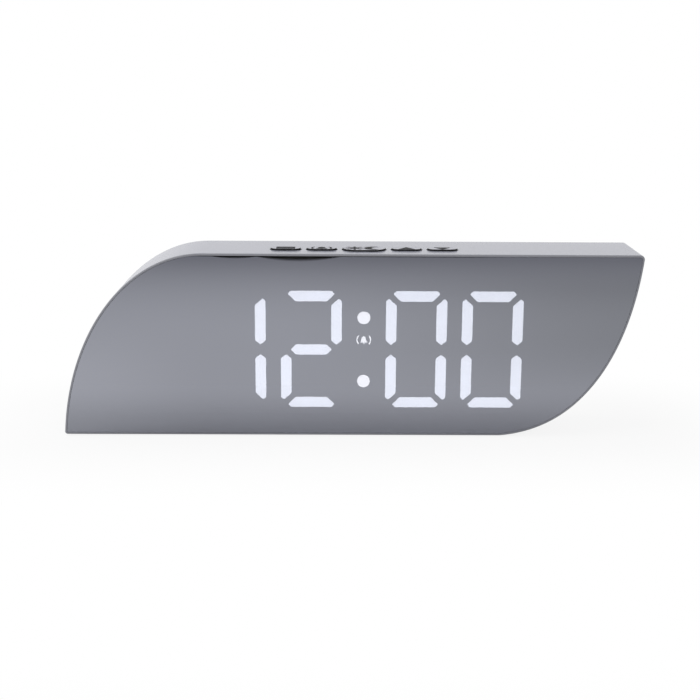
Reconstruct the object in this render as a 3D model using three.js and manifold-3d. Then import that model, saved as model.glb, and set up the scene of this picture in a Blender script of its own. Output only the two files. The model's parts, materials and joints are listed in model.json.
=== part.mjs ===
// Digital desk clock: a leaf-shaped casing with a full mirror front, and white numbers that
// shine through it. Five keys stand on the top edge, and three AAA cells sit behind a door.
// Millimetres, +Z up. The front faces -Y, and X runs left to right as seen from the front.
// Inside this file X is measured from the left tip and Z from the underside of the casing.
import * as THREE from "three";
import { mergeVertices } from "three/addons/utils/BufferGeometryUtils.js";
import Module from "manifold-3d";

const wasm = await Module();
wasm.setup();

// Casing
const width = 177;
const height = 56.91;
const depth = 26;
const wall = 2.2;
const clearance = 0.3;
const rearEdge = 0.5;
const coverLip = 1.1;
const coverThickness = 2;

// Outline of the casing as seen from the front
const leftCurveRun = 43.61;
const leftCurveDrop = 5.15;
const rightCurveRun = 49.04;
const rightCurveRise = 75.47;
const rightCurvePower = 2.343;
const rightCurveOverhang = 1.44;
const rightCurveSink = 0.24;
const lowerLeftRadius = 0.8;
const upperRightRadius = 1.4;
const curveSteps = 18;

// Mirror panel inside a thin rim of the casing, its tape, and the casing's plate behind them
const mirrorThickness = 2;
const mirrorBevel = 0.2;
const mirrorRim = 0.65;
const mirrorGap = 0.15;
const tapeThickness = 0.3;
const tapeWidth = 5;
const tapeInset = 0.8;
const frontPlate = 1.5;
// Shallow dips in the top edge of the mirror panel: middle, length and depth
const mirrorDips = [
  { middle: 72.8, length: 26, drop: 0.68 },
  { middle: 53.6, length: 14.4, drop: 0.3 },
];

// Numbers: four cells of seven segments with a colon in the middle
const spaceLeftOfNumbers = 43.9;
const spaceRightOfNumbers = 35.25;
const spaceUnderNumbers = 8.36;
const spaceOverNumbers = 11.72;
const numberSpacing = 4.58;
const colonRoom = 13.51;
const segmentWidth = 3.3;
const segmentChamfer = 0.95;
const segmentEndInset = 2.2;
const middleEndInset = 3.05;
const middleHalfGap = 1.5;
const colonRadius = 2;
const colonSpread = 20.05;
const symbolRadius = 2.6;
const symbolAboveMiddle = 3.1;
const displayMargin = 1.2;
const maskThickness = 0.6;
const diffuserThickness = 0.5;
const boardThickness = 1.6;
const boardSideMargin = 6.3;
const boardToBay = 1.9;

// Keys on the top edge
const smallKeyWidth = 9.3;
const smallKeyDepth = 5;
const wideKeyWidth = 13.3;
const wideKeyDepth = 8;
const keySpacing = 1.75;
const keyProud = 0.5;
const keyBevel = 0.2;
const keyTravel = 0.5;
const keyFlange = 0.5;
const keyFlangeThickness = 0.8;
const keyRowFromFront = 9;
const switchSide = 6;
const switchHeight = 3.4;
const plungerRadius = 1.7;
const plungerAbove = 1;
const plungerBelow = 1;
const keyBoardThickness = 1.2;
const keyBoardHalfLength = 37.5;
const keyBoardAhead = 4.6;
const keyBoardBehind = 9;
const keyBoardScrewInset = 3.7;
const keyBoardScrewBehind = 5.3;

// Screws: radius of the shank and head, and height of the head
const screwShank = 1;
const screwHead = 2;
const screwHeadHeight = 1.2;
const keyBoardScrewLength = 5;
const screwTipRoom = 1.3;
const coverScrewLength = 8;
const bossRadius = 2.4;
const boardScrewInset = 3.1;
const boardScrewFromEdge = 4.4;

// Cells and their bay in the rear cover
const cellRadius = 5.25;
const cellLength = 44.5;
const cellCount = 3;
const cellSpacing = 11;
const nubRadius = 1.9;
const nubLength = 1;
const bayPastMiddle = 15.1;
const bayAboveMiddle = 0.25;
const bayWall = 2;
const bayFloor = 1.2;
const contactThickness = 0.4;
const contactWidth = 8;
const bumpHeight = 0.8;
const bumpRadius = 1.6;
const springLength = 3.2;
const springBaseRadius = 3.4;
const springTipRadius = 2;
const springTurns = 2.5;
const springWire = 0.35;
const doorThickness = 1.7;
const doorLap = 0.8;
const doorTongue = 7;
const doorTongueReach = 1.5;
const doorTongueThickness = 0.7;
const doorTongueSpread = 15;
const fingerNotch = 12;

// Power inlet, buzzer and feet
const inletLeft = 42;
const inletBottom = 8;
const inletBoardWidth = 14;
const inletBoardLength = 9;
const inletBoardThickness = 1.2;
const socketWidth = 7.6;
const socketHeight = 2.8;
const socketLength = 7;
const railThickness = 1.2;
const buzzerRadius = 6;
const buzzerHeight = 5;
const buzzerMiddleX = 24;
const buzzerMiddleZ = 24;
const soundHoleRadius = 0.8;
const soundHoleSpread = 3;
const padRadius = 3.5;
const padThickness = 0.9;
const padProud = 0.4;
const padFromLeft = 14;
const padFromRight = 49;
const padFromEdge = 6;

// Planes from front to back
const front = -depth / 2;
const back = depth / 2;
const mirrorBack = front + mirrorThickness;
const plateFront = mirrorBack + tapeThickness;
const plateBack = plateFront + frontPlate;
const maskFront = plateFront + 0.1;
const maskBack = maskFront + maskThickness;
const diffuserBack = maskBack + diffuserThickness;
const coverFront = back - coverThickness;
const doorFront = back - doorThickness;
const cellMiddleY = doorFront - clearance - cellRadius;
const bayInnerFront = cellMiddleY - cellRadius - clearance;
const bayOuterFront = bayInnerFront - bayFloor;
const boardBack = bayOuterFront - boardToBay;
const reflectorBack = boardBack - boardThickness;
const boardScrewLength = boardBack - plateBack - screwTipRoom;

// Display sizes
const cellHeight = height - spaceUnderNumbers - spaceOverNumbers;
const displayMiddleZ = spaceUnderNumbers + cellHeight / 2;
const numbersHalfWidth = (width - spaceLeftOfNumbers - spaceRightOfNumbers) / 2;
const displayMiddle = spaceLeftOfNumbers + numbersHalfWidth;
const cellWidth = (numbersHalfWidth - numberSpacing - colonRoom / 2) / 2;
const cellPitch = cellWidth + numberSpacing;
const middleGap = cellWidth + colonRoom;
const displayHalfWidth = numbersHalfWidth + displayMargin;
const displayHalfHeight = cellHeight / 2 + displayMargin;
const boardHalfWidth = displayHalfWidth + boardSideMargin;
const boardTop = displayMiddleZ + displayHalfHeight + 0.3;
const boardBottom = displayMiddleZ - displayHalfHeight - 0.3;

// Levels of the key row, from the top of the casing down
const keyRowY = front + keyRowFromFront;
const topUnderside = height - wall;
const flangeTop = topUnderside - 0.2;
const flangeBottom = flangeTop - keyFlangeThickness;
const switchTop = flangeBottom - plungerAbove;
const keyBoardTop = switchTop - switchHeight;
const keyBoardBottom = keyBoardTop - keyBoardThickness;
const keyBoardScrewY = keyRowY + keyBoardScrewBehind;

// Bay sizes
const contactGap = clearance;
const springSide = contactGap + contactThickness + springLength + clearance;
const bumpSide = contactGap + contactThickness + bumpHeight + clearance;
const bayLength = springSide + cellLength + bumpSide;
const bayLeft = displayMiddle + bayPastMiddle - bayLength / 2;
const bayRight = bayLeft + bayLength;
const bayHeight = cellSpacing * (cellCount - 1) + 2 * cellRadius + 2 * clearance;
const bayMiddleZ = (wall + keyBoardBottom - screwHeadHeight) / 2 + bayAboveMiddle;
const bayBottom = bayMiddleZ - bayHeight / 2;
const bayTop = bayBottom + bayHeight;
const doorTop = bayTop + doorLap;
const doorBottom = bayBottom - doorLap;

// Sides of each small round bar
const roundSides = 12;

// Solids from three.js geometry, and back

function solidOf(geometry) {
  geometry.deleteAttribute("normal");
  geometry.deleteAttribute("uv");
  const merged = mergeVertices(geometry, 1e-4);
  return new wasm.Manifold(new wasm.Mesh({
    numProp: 3,
    vertProperties: merged.attributes.position.array,
    triVerts: new Uint32Array(merged.index.array),
  }));
}

function geometryOf(solid) {
  const mesh = solid.getMesh();
  const geometry = new THREE.BufferGeometry();
  geometry.setAttribute("position", new THREE.BufferAttribute(mesh.vertProperties, 3));
  geometry.setIndex(new THREE.BufferAttribute(mesh.triVerts, 1));
  geometry.computeVertexNormals();
  return geometry;
}

function join(solids) {
  return solids.reduce((sum, solid) => sum.add(solid));
}

function block(x0, x1, y0, y1, z0, z1) {
  const geometry = new THREE.BoxGeometry(x1 - x0, y1 - y0, z1 - z0);
  geometry.translate((x0 + x1) / 2, (y0 + y1) / 2, (z0 + z1) / 2);
  return solidOf(geometry);
}

// A prism of an outline drawn in X and Z, from one depth to another
function prism(points, y0, y1, holes = []) {
  const shape = new THREE.Shape(points);
  shape.holes = holes.map((hole) => new THREE.Path(hole));
  const geometry = new THREE.ExtrudeGeometry(shape, { depth: y1 - y0, bevelEnabled: false });
  geometry.rotateX(Math.PI / 2);
  geometry.translate(0, y1, 0);
  return solidOf(geometry);
}

// The same prism with a bevelled rim at its front and back
function bevelledPrism(points, y0, y1, bevel, steps) {
  const geometry = new THREE.ExtrudeGeometry(new THREE.Shape(points), {
    depth: y1 - y0 - 2 * bevel,
    bevelThickness: bevel,
    bevelSize: bevel,
    bevelOffset: -bevel,
    bevelSegments: steps,
  });
  geometry.rotateX(Math.PI / 2);
  geometry.translate(0, y1 - bevel, 0);
  return solidOf(geometry);
}

// A round bar along Y at the given X and Z
function barAlongY(x, z, radius, y0, y1, sides = roundSides) {
  const geometry = new THREE.CylinderGeometry(radius, radius, y1 - y0, sides);
  geometry.translate(x, (y0 + y1) / 2, z);
  return solidOf(geometry);
}

// A round bar along Z at the given X and Y
function barAlongZ(x, y, radius, z0, z1, sides = roundSides) {
  const geometry = new THREE.CylinderGeometry(radius, radius, z1 - z0, sides);
  geometry.rotateX(Math.PI / 2);
  geometry.translate(x, y, (z0 + z1) / 2);
  return solidOf(geometry);
}

// A flat key shape with round ends, drawn in X and Y
function roundEnded(x, y, length, across) {
  const shape = new THREE.Shape();
  const reach = (length - across) / 2;
  shape.absarc(x + reach, y, across / 2, -Math.PI / 2, Math.PI / 2);
  shape.absarc(x - reach, y, across / 2, Math.PI / 2, 1.5 * Math.PI);
  return shape;
}

function roundEndedBar(x, y, length, across, z0, z1) {
  const shape = roundEnded(x, y, length, across);
  const geometry = new THREE.ExtrudeGeometry(shape, {
    depth: z1 - z0,
    bevelEnabled: false,
    curveSegments: 3,
  });
  geometry.translate(0, 0, z0);
  return solidOf(geometry);
}

// A tube of six sides along a curve
function tubeAlong(curve, steps, radius) {
  const section = new THREE.Shape();
  section.absarc(0, 0, radius, 0, 2 * Math.PI);
  const geometry = new THREE.ExtrudeGeometry(section, {
    extrudePath: curve,
    steps,
    curveSegments: 6,
  });
  return solidOf(geometry);
}

// Outline of the casing

function leftEdgeAt(z) {
  const rise = height + leftCurveDrop;
  return leftCurveRun * (1 - Math.sqrt(1 - ((z + leftCurveDrop) / rise) ** 2));
}

function rightEdgeAt(z) {
  const middleX = width + rightCurveOverhang - rightCurveRun;
  const share = (rightCurveRise - rightCurveSink - z) / rightCurveRise;
  return middleX + rightCurveRun * (1 - share ** rightCurvePower) ** (1 / rightCurvePower);
}

// Heights along a curve, closer together where it runs level
function curveHeights(from, to, levelEnd) {
  const heights = [];
  for (let i = 0; i <= curveSteps; i += 1) {
    const turn = (i / curveSteps) * (Math.PI / 2);
    const share = levelEnd === "low" ? 1 - Math.cos(turn) : Math.sin(turn);
    heights.push(from + (to - from) * share);
  }
  return heights;
}

function casingOutline() {
  const shape = new THREE.Shape();
  shape.moveTo(leftEdgeAt(lowerLeftRadius) + lowerLeftRadius, 0);
  for (const z of curveHeights(0, height - upperRightRadius, "low")) {
    shape.lineTo(rightEdgeAt(z), z);
  }
  const upperX = rightEdgeAt(height - upperRightRadius) - upperRightRadius;
  shape.absarc(upperX, height - upperRightRadius, upperRightRadius, 0, Math.PI / 2);
  for (const z of curveHeights(lowerLeftRadius, height, "high").reverse()) {
    shape.lineTo(leftEdgeAt(z), z);
  }
  const lowerX = leftEdgeAt(lowerLeftRadius) + lowerLeftRadius;
  shape.absarc(lowerX, lowerLeftRadius, lowerLeftRadius, Math.PI, 1.5 * Math.PI);
  return withoutRepeats(shape.getPoints(2));
}

function withoutRepeats(points) {
  const least = 0.02;
  return points.filter((point, i) => {
    const before = points[(i + points.length - 1) % points.length];
    return point.distanceTo(before) > least;
  });
}

// Keeps the part of a convex outline on the inner side of a line
function clip(points, inward, offset) {
  const kept = [];
  points.forEach((a, i) => {
    const b = points[(i + 1) % points.length];
    const fromA = inward.dot(a) - offset;
    const fromB = inward.dot(b) - offset;
    if (fromA >= 0) {
      kept.push(a);
    }
    if (fromA >= 0 !== fromB >= 0) {
      kept.push(a.clone().lerp(b, fromA / (fromA - fromB)));
    }
  });
  return kept;
}

// A convex outline drawn in by the same distance all round
function inset(points, distance) {
  let kept = points;
  points.forEach((a, i) => {
    const b = points[(i + 1) % points.length];
    const along = b.clone().sub(a).normalize();
    const inward = new THREE.Vector2(-along.y, along.x);
    kept = clip(kept, inward, inward.dot(a) + distance);
  });
  return withoutRepeats(kept);
}

const outline = casingOutline();

// Mirror panel and tape

const panelInset = mirrorRim + mirrorGap;

// The part of a large circle that dips below the panel's top edge
function dipCutter({ middle, length, drop }) {
  const top = height - panelInset;
  const radius = ((length / 2) ** 2 + drop ** 2) / (2 * drop);
  const half = Math.asin(length / 2 / radius);
  const arc = new THREE.Path();
  arc.absarc(middle, top + radius - drop, radius, -Math.PI / 2 - half, -Math.PI / 2 + half);
  const points = arc.getPoints(6);
  points.push(new THREE.Vector2(middle + length / 2, top + 1));
  points.push(new THREE.Vector2(middle - length / 2, top + 1));
  return prism(points, front - 1, mirrorBack + 1);
}

function mirrorPanel() {
  const face = inset(outline, panelInset + mirrorBevel);
  const sides = inset(outline, panelInset);
  const sheet = prism(face, front, mirrorBack)
    .add(prism(sides, front + mirrorBevel, mirrorBack))
    .hull();
  return mirrorDips.reduce((panel, dip) => panel.subtract(dipCutter(dip)), sheet);
}

function mirrorTape() {
  const outer = inset(outline, panelInset + tapeInset);
  const inner = inset(outline, panelInset + tapeInset + tapeWidth);
  return prism(outer, mirrorBack, plateFront).subtract(
    prism(inner, mirrorBack - 1, plateFront + 1));
}

// Places shared by the casing and what screws into it

const boardScrews = [-1, 1].flatMap((side) => [
  [displayMiddle + side * (boardHalfWidth - boardScrewInset), boardTop - boardScrewFromEdge],
  [displayMiddle + side * (boardHalfWidth - boardScrewInset), boardBottom + boardScrewFromEdge],
]);

const coverBossInset = wall + bossRadius + 1.6;
const coverScrews = [
  [leftEdgeAt(9) + coverBossInset, 9],
  [leftEdgeAt(height - 11) + coverBossInset + 7, height - 11],
  [rightEdgeAt(height - 7.5) - coverBossInset - 1, height - 7.5],
  [rightEdgeAt(17) - coverBossInset - 2, 17],
];

const keyBoardScrews = [-1, 1].map((side) =>
  displayMiddle + side * (keyBoardHalfLength - keyBoardScrewInset));

const padPlaces = [padFromLeft, width - padFromRight].flatMap((x) =>
  [front + padFromEdge, back - padFromEdge].map((y) => [x, y]));

const smallReach = wideKeyWidth / 2 + keySpacing + smallKeyWidth / 2;
const outerReach = smallReach + smallKeyWidth + keySpacing;
const keys = [
  { name: "mode", offset: -outerReach, length: smallKeyWidth, across: smallKeyDepth },
  { name: "alarm", offset: -smallReach, length: smallKeyWidth, across: smallKeyDepth },
  { name: "snooze", offset: 0, length: wideKeyWidth, across: wideKeyDepth },
  { name: "up", offset: smallReach, length: smallKeyWidth, across: smallKeyDepth },
  { name: "down", offset: outerReach, length: smallKeyWidth, across: smallKeyDepth },
].map((key) => ({ ...key, x: displayMiddle + key.offset }));

// Casing

function displayWindow() {
  return block(
    displayMiddle - displayHalfWidth - clearance,
    displayMiddle + displayHalfWidth + clearance,
    plateFront - 1,
    plateBack + 1,
    displayMiddleZ - displayHalfHeight - clearance,
    displayMiddleZ + displayHalfHeight + clearance);
}

function keyHole(key) {
  return roundEndedBar(key.x, keyRowY, key.length + 2 * clearance, key.across + 2 * clearance,
    topUnderside - 1, height + 1);
}

function screwHoleAlongY([x, z], y0, y1) {
  return barAlongY(x, z, screwShank + clearance, y0, y1);
}

function casing() {
  const long = bevelledPrism(outline, front - 1, back, rearEdge, 2);
  const ahead = block(-1, width + 1, front - 2, front, -1, height + 1);
  const recess = prism(inset(outline, mirrorRim), front - 1, plateFront);
  const cavity = prism(inset(outline, wall), plateBack, back + 1);
  const rebate = prism(inset(outline, coverLip), coverFront, back + 1);
  const shell = long.subtract(ahead).subtract(recess).subtract(cavity).subtract(rebate);
  const bosses = [
    ...boardScrews.map(([x, z]) => barAlongY(x, z, bossRadius, plateBack - 0.5, reflectorBack)),
    ...coverScrews.map(([x, z]) => barAlongY(x, z, bossRadius, plateBack - 0.5, coverFront)),
    ...keyBoardScrews.map((x) =>
      barAlongZ(x, keyBoardScrewY, bossRadius, keyBoardTop, topUnderside + 0.5)),
  ];
  const cuts = [
    displayWindow(),
    ...keys.map(keyHole),
    ...boardScrews.map((place) => screwHoleAlongY(place, plateBack + 0.4, back)),
    ...coverScrews.map((place) =>
      screwHoleAlongY(place, coverFront - coverScrewLength, coverFront + 1)),
    ...keyBoardScrews.map((x) =>
      barAlongZ(x, keyBoardScrewY, screwShank + clearance, keyBoardTop - 1, topUnderside)),
    ...padPlaces.map(([x, y]) =>
      barAlongZ(x, y, padRadius + clearance, -1, padThickness - padProud, 16)),
  ];
  return cuts.reduce((solid, cut) => solid.subtract(cut), join([shell, ...bosses]));
}

// Display: mask with number-shaped windows, diffuser, reflector and board

// Segment outlines in one cell, measured from its lower left corner
function cellSegments() {
  const w = segmentWidth;
  const c = segmentChamfer;
  const right = cellWidth;
  const top = cellHeight;
  const middle = cellHeight / 2;
  const tip = segmentEndInset;
  const level = [
    [tip, top - c], [tip + w - c, top - w], [right - tip - w + c, top - w],
    [right - tip, top - c], [right - tip - c, top], [tip + c, top],
  ];
  const upright = [
    [0, middle + middleHalfGap + w / 2 - c / 3], [w / 2, middle + middleHalfGap],
    [w, middle + middleHalfGap + w / 2 - c / 3], [w, top - tip - w + c],
    [c, top - tip - c / 4], [0, top - tip - c],
  ];
  const across = [
    [middleEndInset, middle], [middleEndInset + w / 2, middle - w / 2],
    [right - middleEndInset - w / 2, middle - w / 2], [right - middleEndInset, middle],
    [right - middleEndInset - w / 2, middle + w / 2], [middleEndInset + w / 2, middle + w / 2],
  ];
  const flipX = (points) => points.map(([x, z]) => [right - x, z]).reverse();
  const flipZ = (points) => points.map(([x, z]) => [x, top - z]).reverse();
  return [
    level, flipZ(level), across,
    upright, flipX(upright), flipZ(upright), flipX(flipZ(upright)),
  ];
}

function roundWindow(x, z, radius) {
  const circle = new THREE.Path();
  circle.absarc(x, z, radius, 0, 2 * Math.PI);
  return withoutRepeats(circle.getPoints(6));
}

function displayOutline() {
  const left = displayMiddle - displayHalfWidth;
  const right = displayMiddle + displayHalfWidth;
  const low = displayMiddleZ - displayHalfHeight;
  const high = displayMiddleZ + displayHalfHeight;
  return [[left, low], [right, low], [right, high], [left, high]]
    .map(([x, z]) => new THREE.Vector2(x, z));
}

function displayWindows() {
  const middles = [-1.5, -0.5, 0.5, 1.5].map((place) =>
    displayMiddle + place * cellPitch + Math.sign(place) * (middleGap - cellPitch) / 2);
  const segments = middles.flatMap((middle) =>
    cellSegments().map((points) => points.map(([x, z]) =>
      new THREE.Vector2(middle - cellWidth / 2 + x, spaceUnderNumbers + z))));
  const dots = [-0.5, 0.5].map((side) =>
    roundWindow(displayMiddle, displayMiddleZ + side * colonSpread, colonRadius));
  const symbol = roundWindow(displayMiddle, displayMiddleZ + symbolAboveMiddle, symbolRadius);
  return [...segments, ...dots, symbol];
}

function pierced(y0, y1) {
  return prism(displayOutline(), y0, y1, displayWindows());
}

function displayDiffuser() {
  return prism(displayOutline(), maskBack, diffuserBack);
}

function mainBoard() {
  const plate = block(displayMiddle - boardHalfWidth, displayMiddle + boardHalfWidth,
    reflectorBack, boardBack, boardBottom, boardTop);
  return boardScrews.reduce((board, place) =>
    board.subtract(screwHoleAlongY(place, reflectorBack - 1, boardBack + 1)), plate);
}

// Keys, their plungers and switches, and their board

function keyCap(key) {
  const top = height + keyProud;
  const stem = roundEndedBar(key.x, keyRowY, key.length, key.across,
    flangeTop - 0.1, top - keyBevel);
  const shape = roundEnded(key.x, keyRowY, key.length - 2 * keyBevel, key.across - 2 * keyBevel);
  const crown = new THREE.ExtrudeGeometry(shape, {
    depth: keyBevel,
    bevelThickness: keyBevel,
    bevelSize: keyBevel,
    bevelSegments: 1,
    curveSegments: 3,
  });
  crown.translate(0, 0, top - 2 * keyBevel);
  const flange = roundEndedBar(key.x, keyRowY, key.length + 2 * clearance + keyFlange,
    key.across + 2 * clearance + keyFlange, flangeBottom, flangeTop);
  return join([stem, solidOf(crown), flange]);
}

function keyPlunger(key) {
  return barAlongZ(key.x, keyRowY, plungerRadius, switchTop - plungerBelow, flangeBottom);
}

function keySwitch(key) {
  const half = switchSide / 2;
  const body = block(key.x - half, key.x + half, keyRowY - half, keyRowY + half,
    keyBoardTop, switchTop);
  const bore = barAlongZ(key.x, keyRowY, plungerRadius + clearance,
    switchTop - plungerBelow - keyTravel - clearance, switchTop + 1);
  return body.subtract(bore);
}

function keyBoard() {
  const plate = block(displayMiddle - keyBoardHalfLength, displayMiddle + keyBoardHalfLength,
    keyRowY - keyBoardAhead, keyRowY + keyBoardBehind, keyBoardBottom, keyBoardTop);
  return keyBoardScrews.reduce((board, x) =>
    board.subtract(barAlongZ(x, keyBoardScrewY, screwShank + clearance,
      keyBoardBottom - 1, keyBoardTop + 1)), plate);
}

// Rear cover with its battery bay

function doorRecess() {
  return block(bayLeft - doorLap - clearance, bayRight + doorLap + clearance,
    doorFront - clearance, back + 1, doorBottom - clearance, doorTop + clearance);
}

// The door tilts outwards about its top edge, and its tongues hook behind the cover there
const doorTongues = [-1, 1].map((side) => (bayLeft + bayRight) / 2 + side * doorTongueSpread);
const tongueBack = coverFront - clearance;
const tongueFront = tongueBack - doorTongueThickness;

function tonguePocket(x) {
  const half = doorTongue / 2 + clearance;
  return block(x - half, x + half, tongueFront - 0.6, coverFront,
    doorTop - doorTongueReach - clearance, doorTop + doorTongueReach + clearance);
}

function inletSocketHole() {
  const middle = inletLeft + inletBoardWidth / 2;
  const low = inletBottom + inletBoardThickness;
  return block(middle - socketWidth / 2 - clearance, middle + socketWidth / 2 + clearance,
    coverFront - 1, back + 1, low - clearance, low + socketHeight + clearance);
}

function inletRail(side) {
  const edge = side < 0 ? inletLeft : inletLeft + inletBoardWidth;
  const outer = edge + side * (clearance + railThickness);
  const inner = edge - side * railThickness;
  const low = inletBottom - clearance - railThickness;
  const high = inletBottom + inletBoardThickness + clearance + railThickness;
  const rail = block(Math.min(outer, inner), Math.max(outer, inner),
    coverFront - inletBoardLength, coverFront + 0.5, low, high);
  const slot = block(Math.min(edge + side * clearance, inner - side),
    Math.max(edge + side * clearance, inner - side),
    coverFront - inletBoardLength - 1, coverFront, low + railThickness, high - railThickness);
  return rail.subtract(slot);
}

function soundHoles() {
  const holes = [[0, 0]];
  for (let i = 0; i < 6; i += 1) {
    const turn = (i * Math.PI) / 3;
    holes.push([soundHoleSpread * Math.cos(turn), soundHoleSpread * Math.sin(turn)]);
  }
  return holes.map(([x, z]) => barAlongY(buzzerMiddleX + x, buzzerMiddleZ + z,
    soundHoleRadius, coverFront - 1, back + 1, 8));
}

function buzzerRing() {
  const outer = barAlongY(buzzerMiddleX, buzzerMiddleZ, buzzerRadius + clearance + railThickness,
    coverFront - buzzerHeight + 1, coverFront + 0.5, 20);
  const inner = barAlongY(buzzerMiddleX, buzzerMiddleZ, buzzerRadius + clearance,
    coverFront - buzzerHeight, coverFront, 20);
  return outer.subtract(inner);
}

function tailSlot(x, z) {
  return block(x - 3, x + 3, cellMiddleY - 1.5, cellMiddleY + 1.5, z - 0.6, z + 0.6);
}

function rearCover() {
  const plate = prism(inset(outline, coverLip + clearance), coverFront, back);
  const bay = block(bayLeft - bayWall, bayRight + bayWall, bayOuterFront, coverFront + 0.5,
    bayBottom - bayWall, bayTop + bayWall);
  const hollow = block(bayLeft, bayRight, bayInnerFront, back, bayBottom, bayTop);
  const notch = block((bayLeft + bayRight - fingerNotch) / 2, (bayLeft + bayRight + fingerNotch) / 2,
    back - 1, back + 1, doorBottom - 3, doorBottom);
  const cuts = [
    hollow,
    doorRecess(),
    notch,
    ...doorTongues.map(tonguePocket),
    inletSocketHole(),
    ...soundHoles(),
    ...coverScrews.map((place) => screwHoleAlongY(place, coverFront - 1, back + 1)),
    ...coverScrews.map(([x, z]) =>
      barAlongY(x, z, screwHead + clearance, back - screwHeadHeight, back + 1)),
    tailSlot(bayLeft - bayWall / 2, cellMiddleZ(0)),
    tailSlot(bayRight + bayWall / 2, cellMiddleZ(cellCount - 1)),
  ];
  const whole = join([plate, bay, buzzerRing(), inletRail(-1), inletRail(1)]);
  return cuts.reduce((solid, cut) => solid.subtract(cut), whole);
}

function batteryDoor() {
  const plate = block(bayLeft - doorLap, bayRight + doorLap, doorFront, back, doorBottom, doorTop);
  const tongues = doorTongues.map((x) => join([
    block(x - doorTongue / 2, x + doorTongue / 2, tongueFront, tongueBack,
      doorTop - doorTongueReach, doorTop + doorTongueReach - clearance),
    block(x - doorTongue / 2, x + doorTongue / 2, tongueFront, doorFront + 0.2,
      doorTop - doorTongueReach, doorTop - clearance),
  ]));
  return join([plate, ...tongues]);
}

// Cells and contacts

function cellMiddleZ(i) {
  return bayBottom + clearance + cellRadius + i * cellSpacing;
}

// A cell lying along X with its nub at the high end
function batteryCell() {
  const profile = [
    [0, 0], [cellRadius - 0.4, 0], [cellRadius, 0.4],
    [cellRadius, cellLength - nubLength - 0.4], [cellRadius - 0.4, cellLength - nubLength],
    [nubRadius, cellLength - nubLength], [nubRadius, cellLength], [0, cellLength],
  ].map(([x, y]) => new THREE.Vector2(x, y));
  return solidOf(new THREE.LatheGeometry(profile, 16));
}

class ConeCoil extends THREE.Curve {
  getPoint(share) {
    const turn = share * springTurns * 2 * Math.PI;
    const radius = springBaseRadius + (springTipRadius - springBaseRadius) * share;
    return new THREE.Vector3(share * (springLength - springWire),
      radius * Math.cos(turn), radius * Math.sin(turn));
  }
}

// Contacts are drawn at the left end of the bay, and turned round for the right end
function springContact(z) {
  const coil = tubeAlong(new ConeCoil(), Math.round(springTurns * 8), springWire);
  return join([contactPlate(z), coil.translate([contactThickness / 2, 0, z])]);
}

function bumpContact(z) {
  const bump = new THREE.CylinderGeometry(bumpRadius * 0.6, bumpRadius, bumpHeight + 0.1, 8);
  bump.rotateZ(-Math.PI / 2);
  bump.translate(contactThickness + bumpHeight / 2 - 0.05, 0, z);
  return join([contactPlate(z), solidOf(bump)]);
}

function contactPlate(z) {
  const half = contactWidth / 2;
  return block(0, contactThickness, -half, half, z - half, z + half);
}

function bridge(z0, z1) {
  return block(0, contactThickness, -contactWidth / 4, contactWidth / 4, z0, z1);
}

function tail(z) {
  return block(-contactGap - bayWall - 1.2, contactThickness / 2, -1, 1, z - 0.25, z + 0.25);
}

// Screws and small parts

function pointedScrew(length, crossed) {
  const head = barAlongY(0, 0, screwHead, 0, screwHeadHeight);
  const shank = barAlongY(0, 0, screwShank, -length, 0.1);
  const screw = join([head, shank]);
  if (!crossed) {
    return screw;
  }
  const long = screwHead * 0.6;
  const thin = screwHead * 0.14;
  const deep = screwHeadHeight * 0.5;
  return screw
    .subtract(block(-long, long, deep, screwHeadHeight + 1, -thin, thin))
    .subtract(block(-thin, thin, deep, screwHeadHeight + 1, -long, long));
}

function canOf(radius, tall) {
  const profile = [[0, 0], [radius, 0], [radius, tall - 0.4], [radius - 0.4, tall], [0, tall]]
    .map(([x, y]) => new THREE.Vector2(x, y));
  return solidOf(new THREE.LatheGeometry(profile, roundSides));
}

function usbSocket() {
  const shell = block(0, socketWidth, 0, socketLength, 0, socketHeight);
  const mouth = block(0.5, socketWidth - 0.5, socketLength - 5, socketLength + 1,
    0.5, socketHeight - 0.5);
  const blade = block(1.6, socketWidth - 1.6, socketLength - 5.5, socketLength - 1,
    socketHeight / 2 - 0.3, socketHeight / 2 + 0.3);
  return shell.subtract(mouth).add(blade);
}

// A flat cable as a bent strip, drawn in Y and Z and as wide as its leads
function ribbonCable(x0, x1, points, thickness) {
  const bend = new THREE.CatmullRomCurve3(points.map(([y, z]) => new THREE.Vector3(0, y, z)));
  const steps = 8;
  const sides = [[], []];
  for (let i = 0; i <= steps; i += 1) {
    const at = bend.getPoint(i / steps);
    const along = bend.getTangent(i / steps);
    const across = new THREE.Vector2(-along.z, along.y).multiplyScalar(thickness / 2);
    sides[0].push(new THREE.Vector2(at.y + across.x, at.z + across.y));
    sides[1].unshift(new THREE.Vector2(at.y - across.x, at.z - across.y));
  }
  const geometry = new THREE.ExtrudeGeometry(new THREE.Shape([...sides[0], ...sides[1]]),
    { depth: x1 - x0, bevelEnabled: false });
  // The drawing's first axis becomes Y, its second Z, and its depth runs along X
  geometry.rotateX(Math.PI / 2);
  geometry.rotateZ(Math.PI / 2);
  geometry.translate(x0, 0, 0);
  return solidOf(geometry);
}

function lead(points, radius) {
  const route = new THREE.CatmullRomCurve3(points.map((p) => new THREE.Vector3(...p)));
  return tubeAlong(route, 10, radius);
}

// Materials

function finish(color, roughness, metalness = 0, opacity = 1) {
  return new THREE.MeshStandardMaterial({
    color, roughness, metalness, opacity, transparent: opacity < 1,
  });
}

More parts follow.
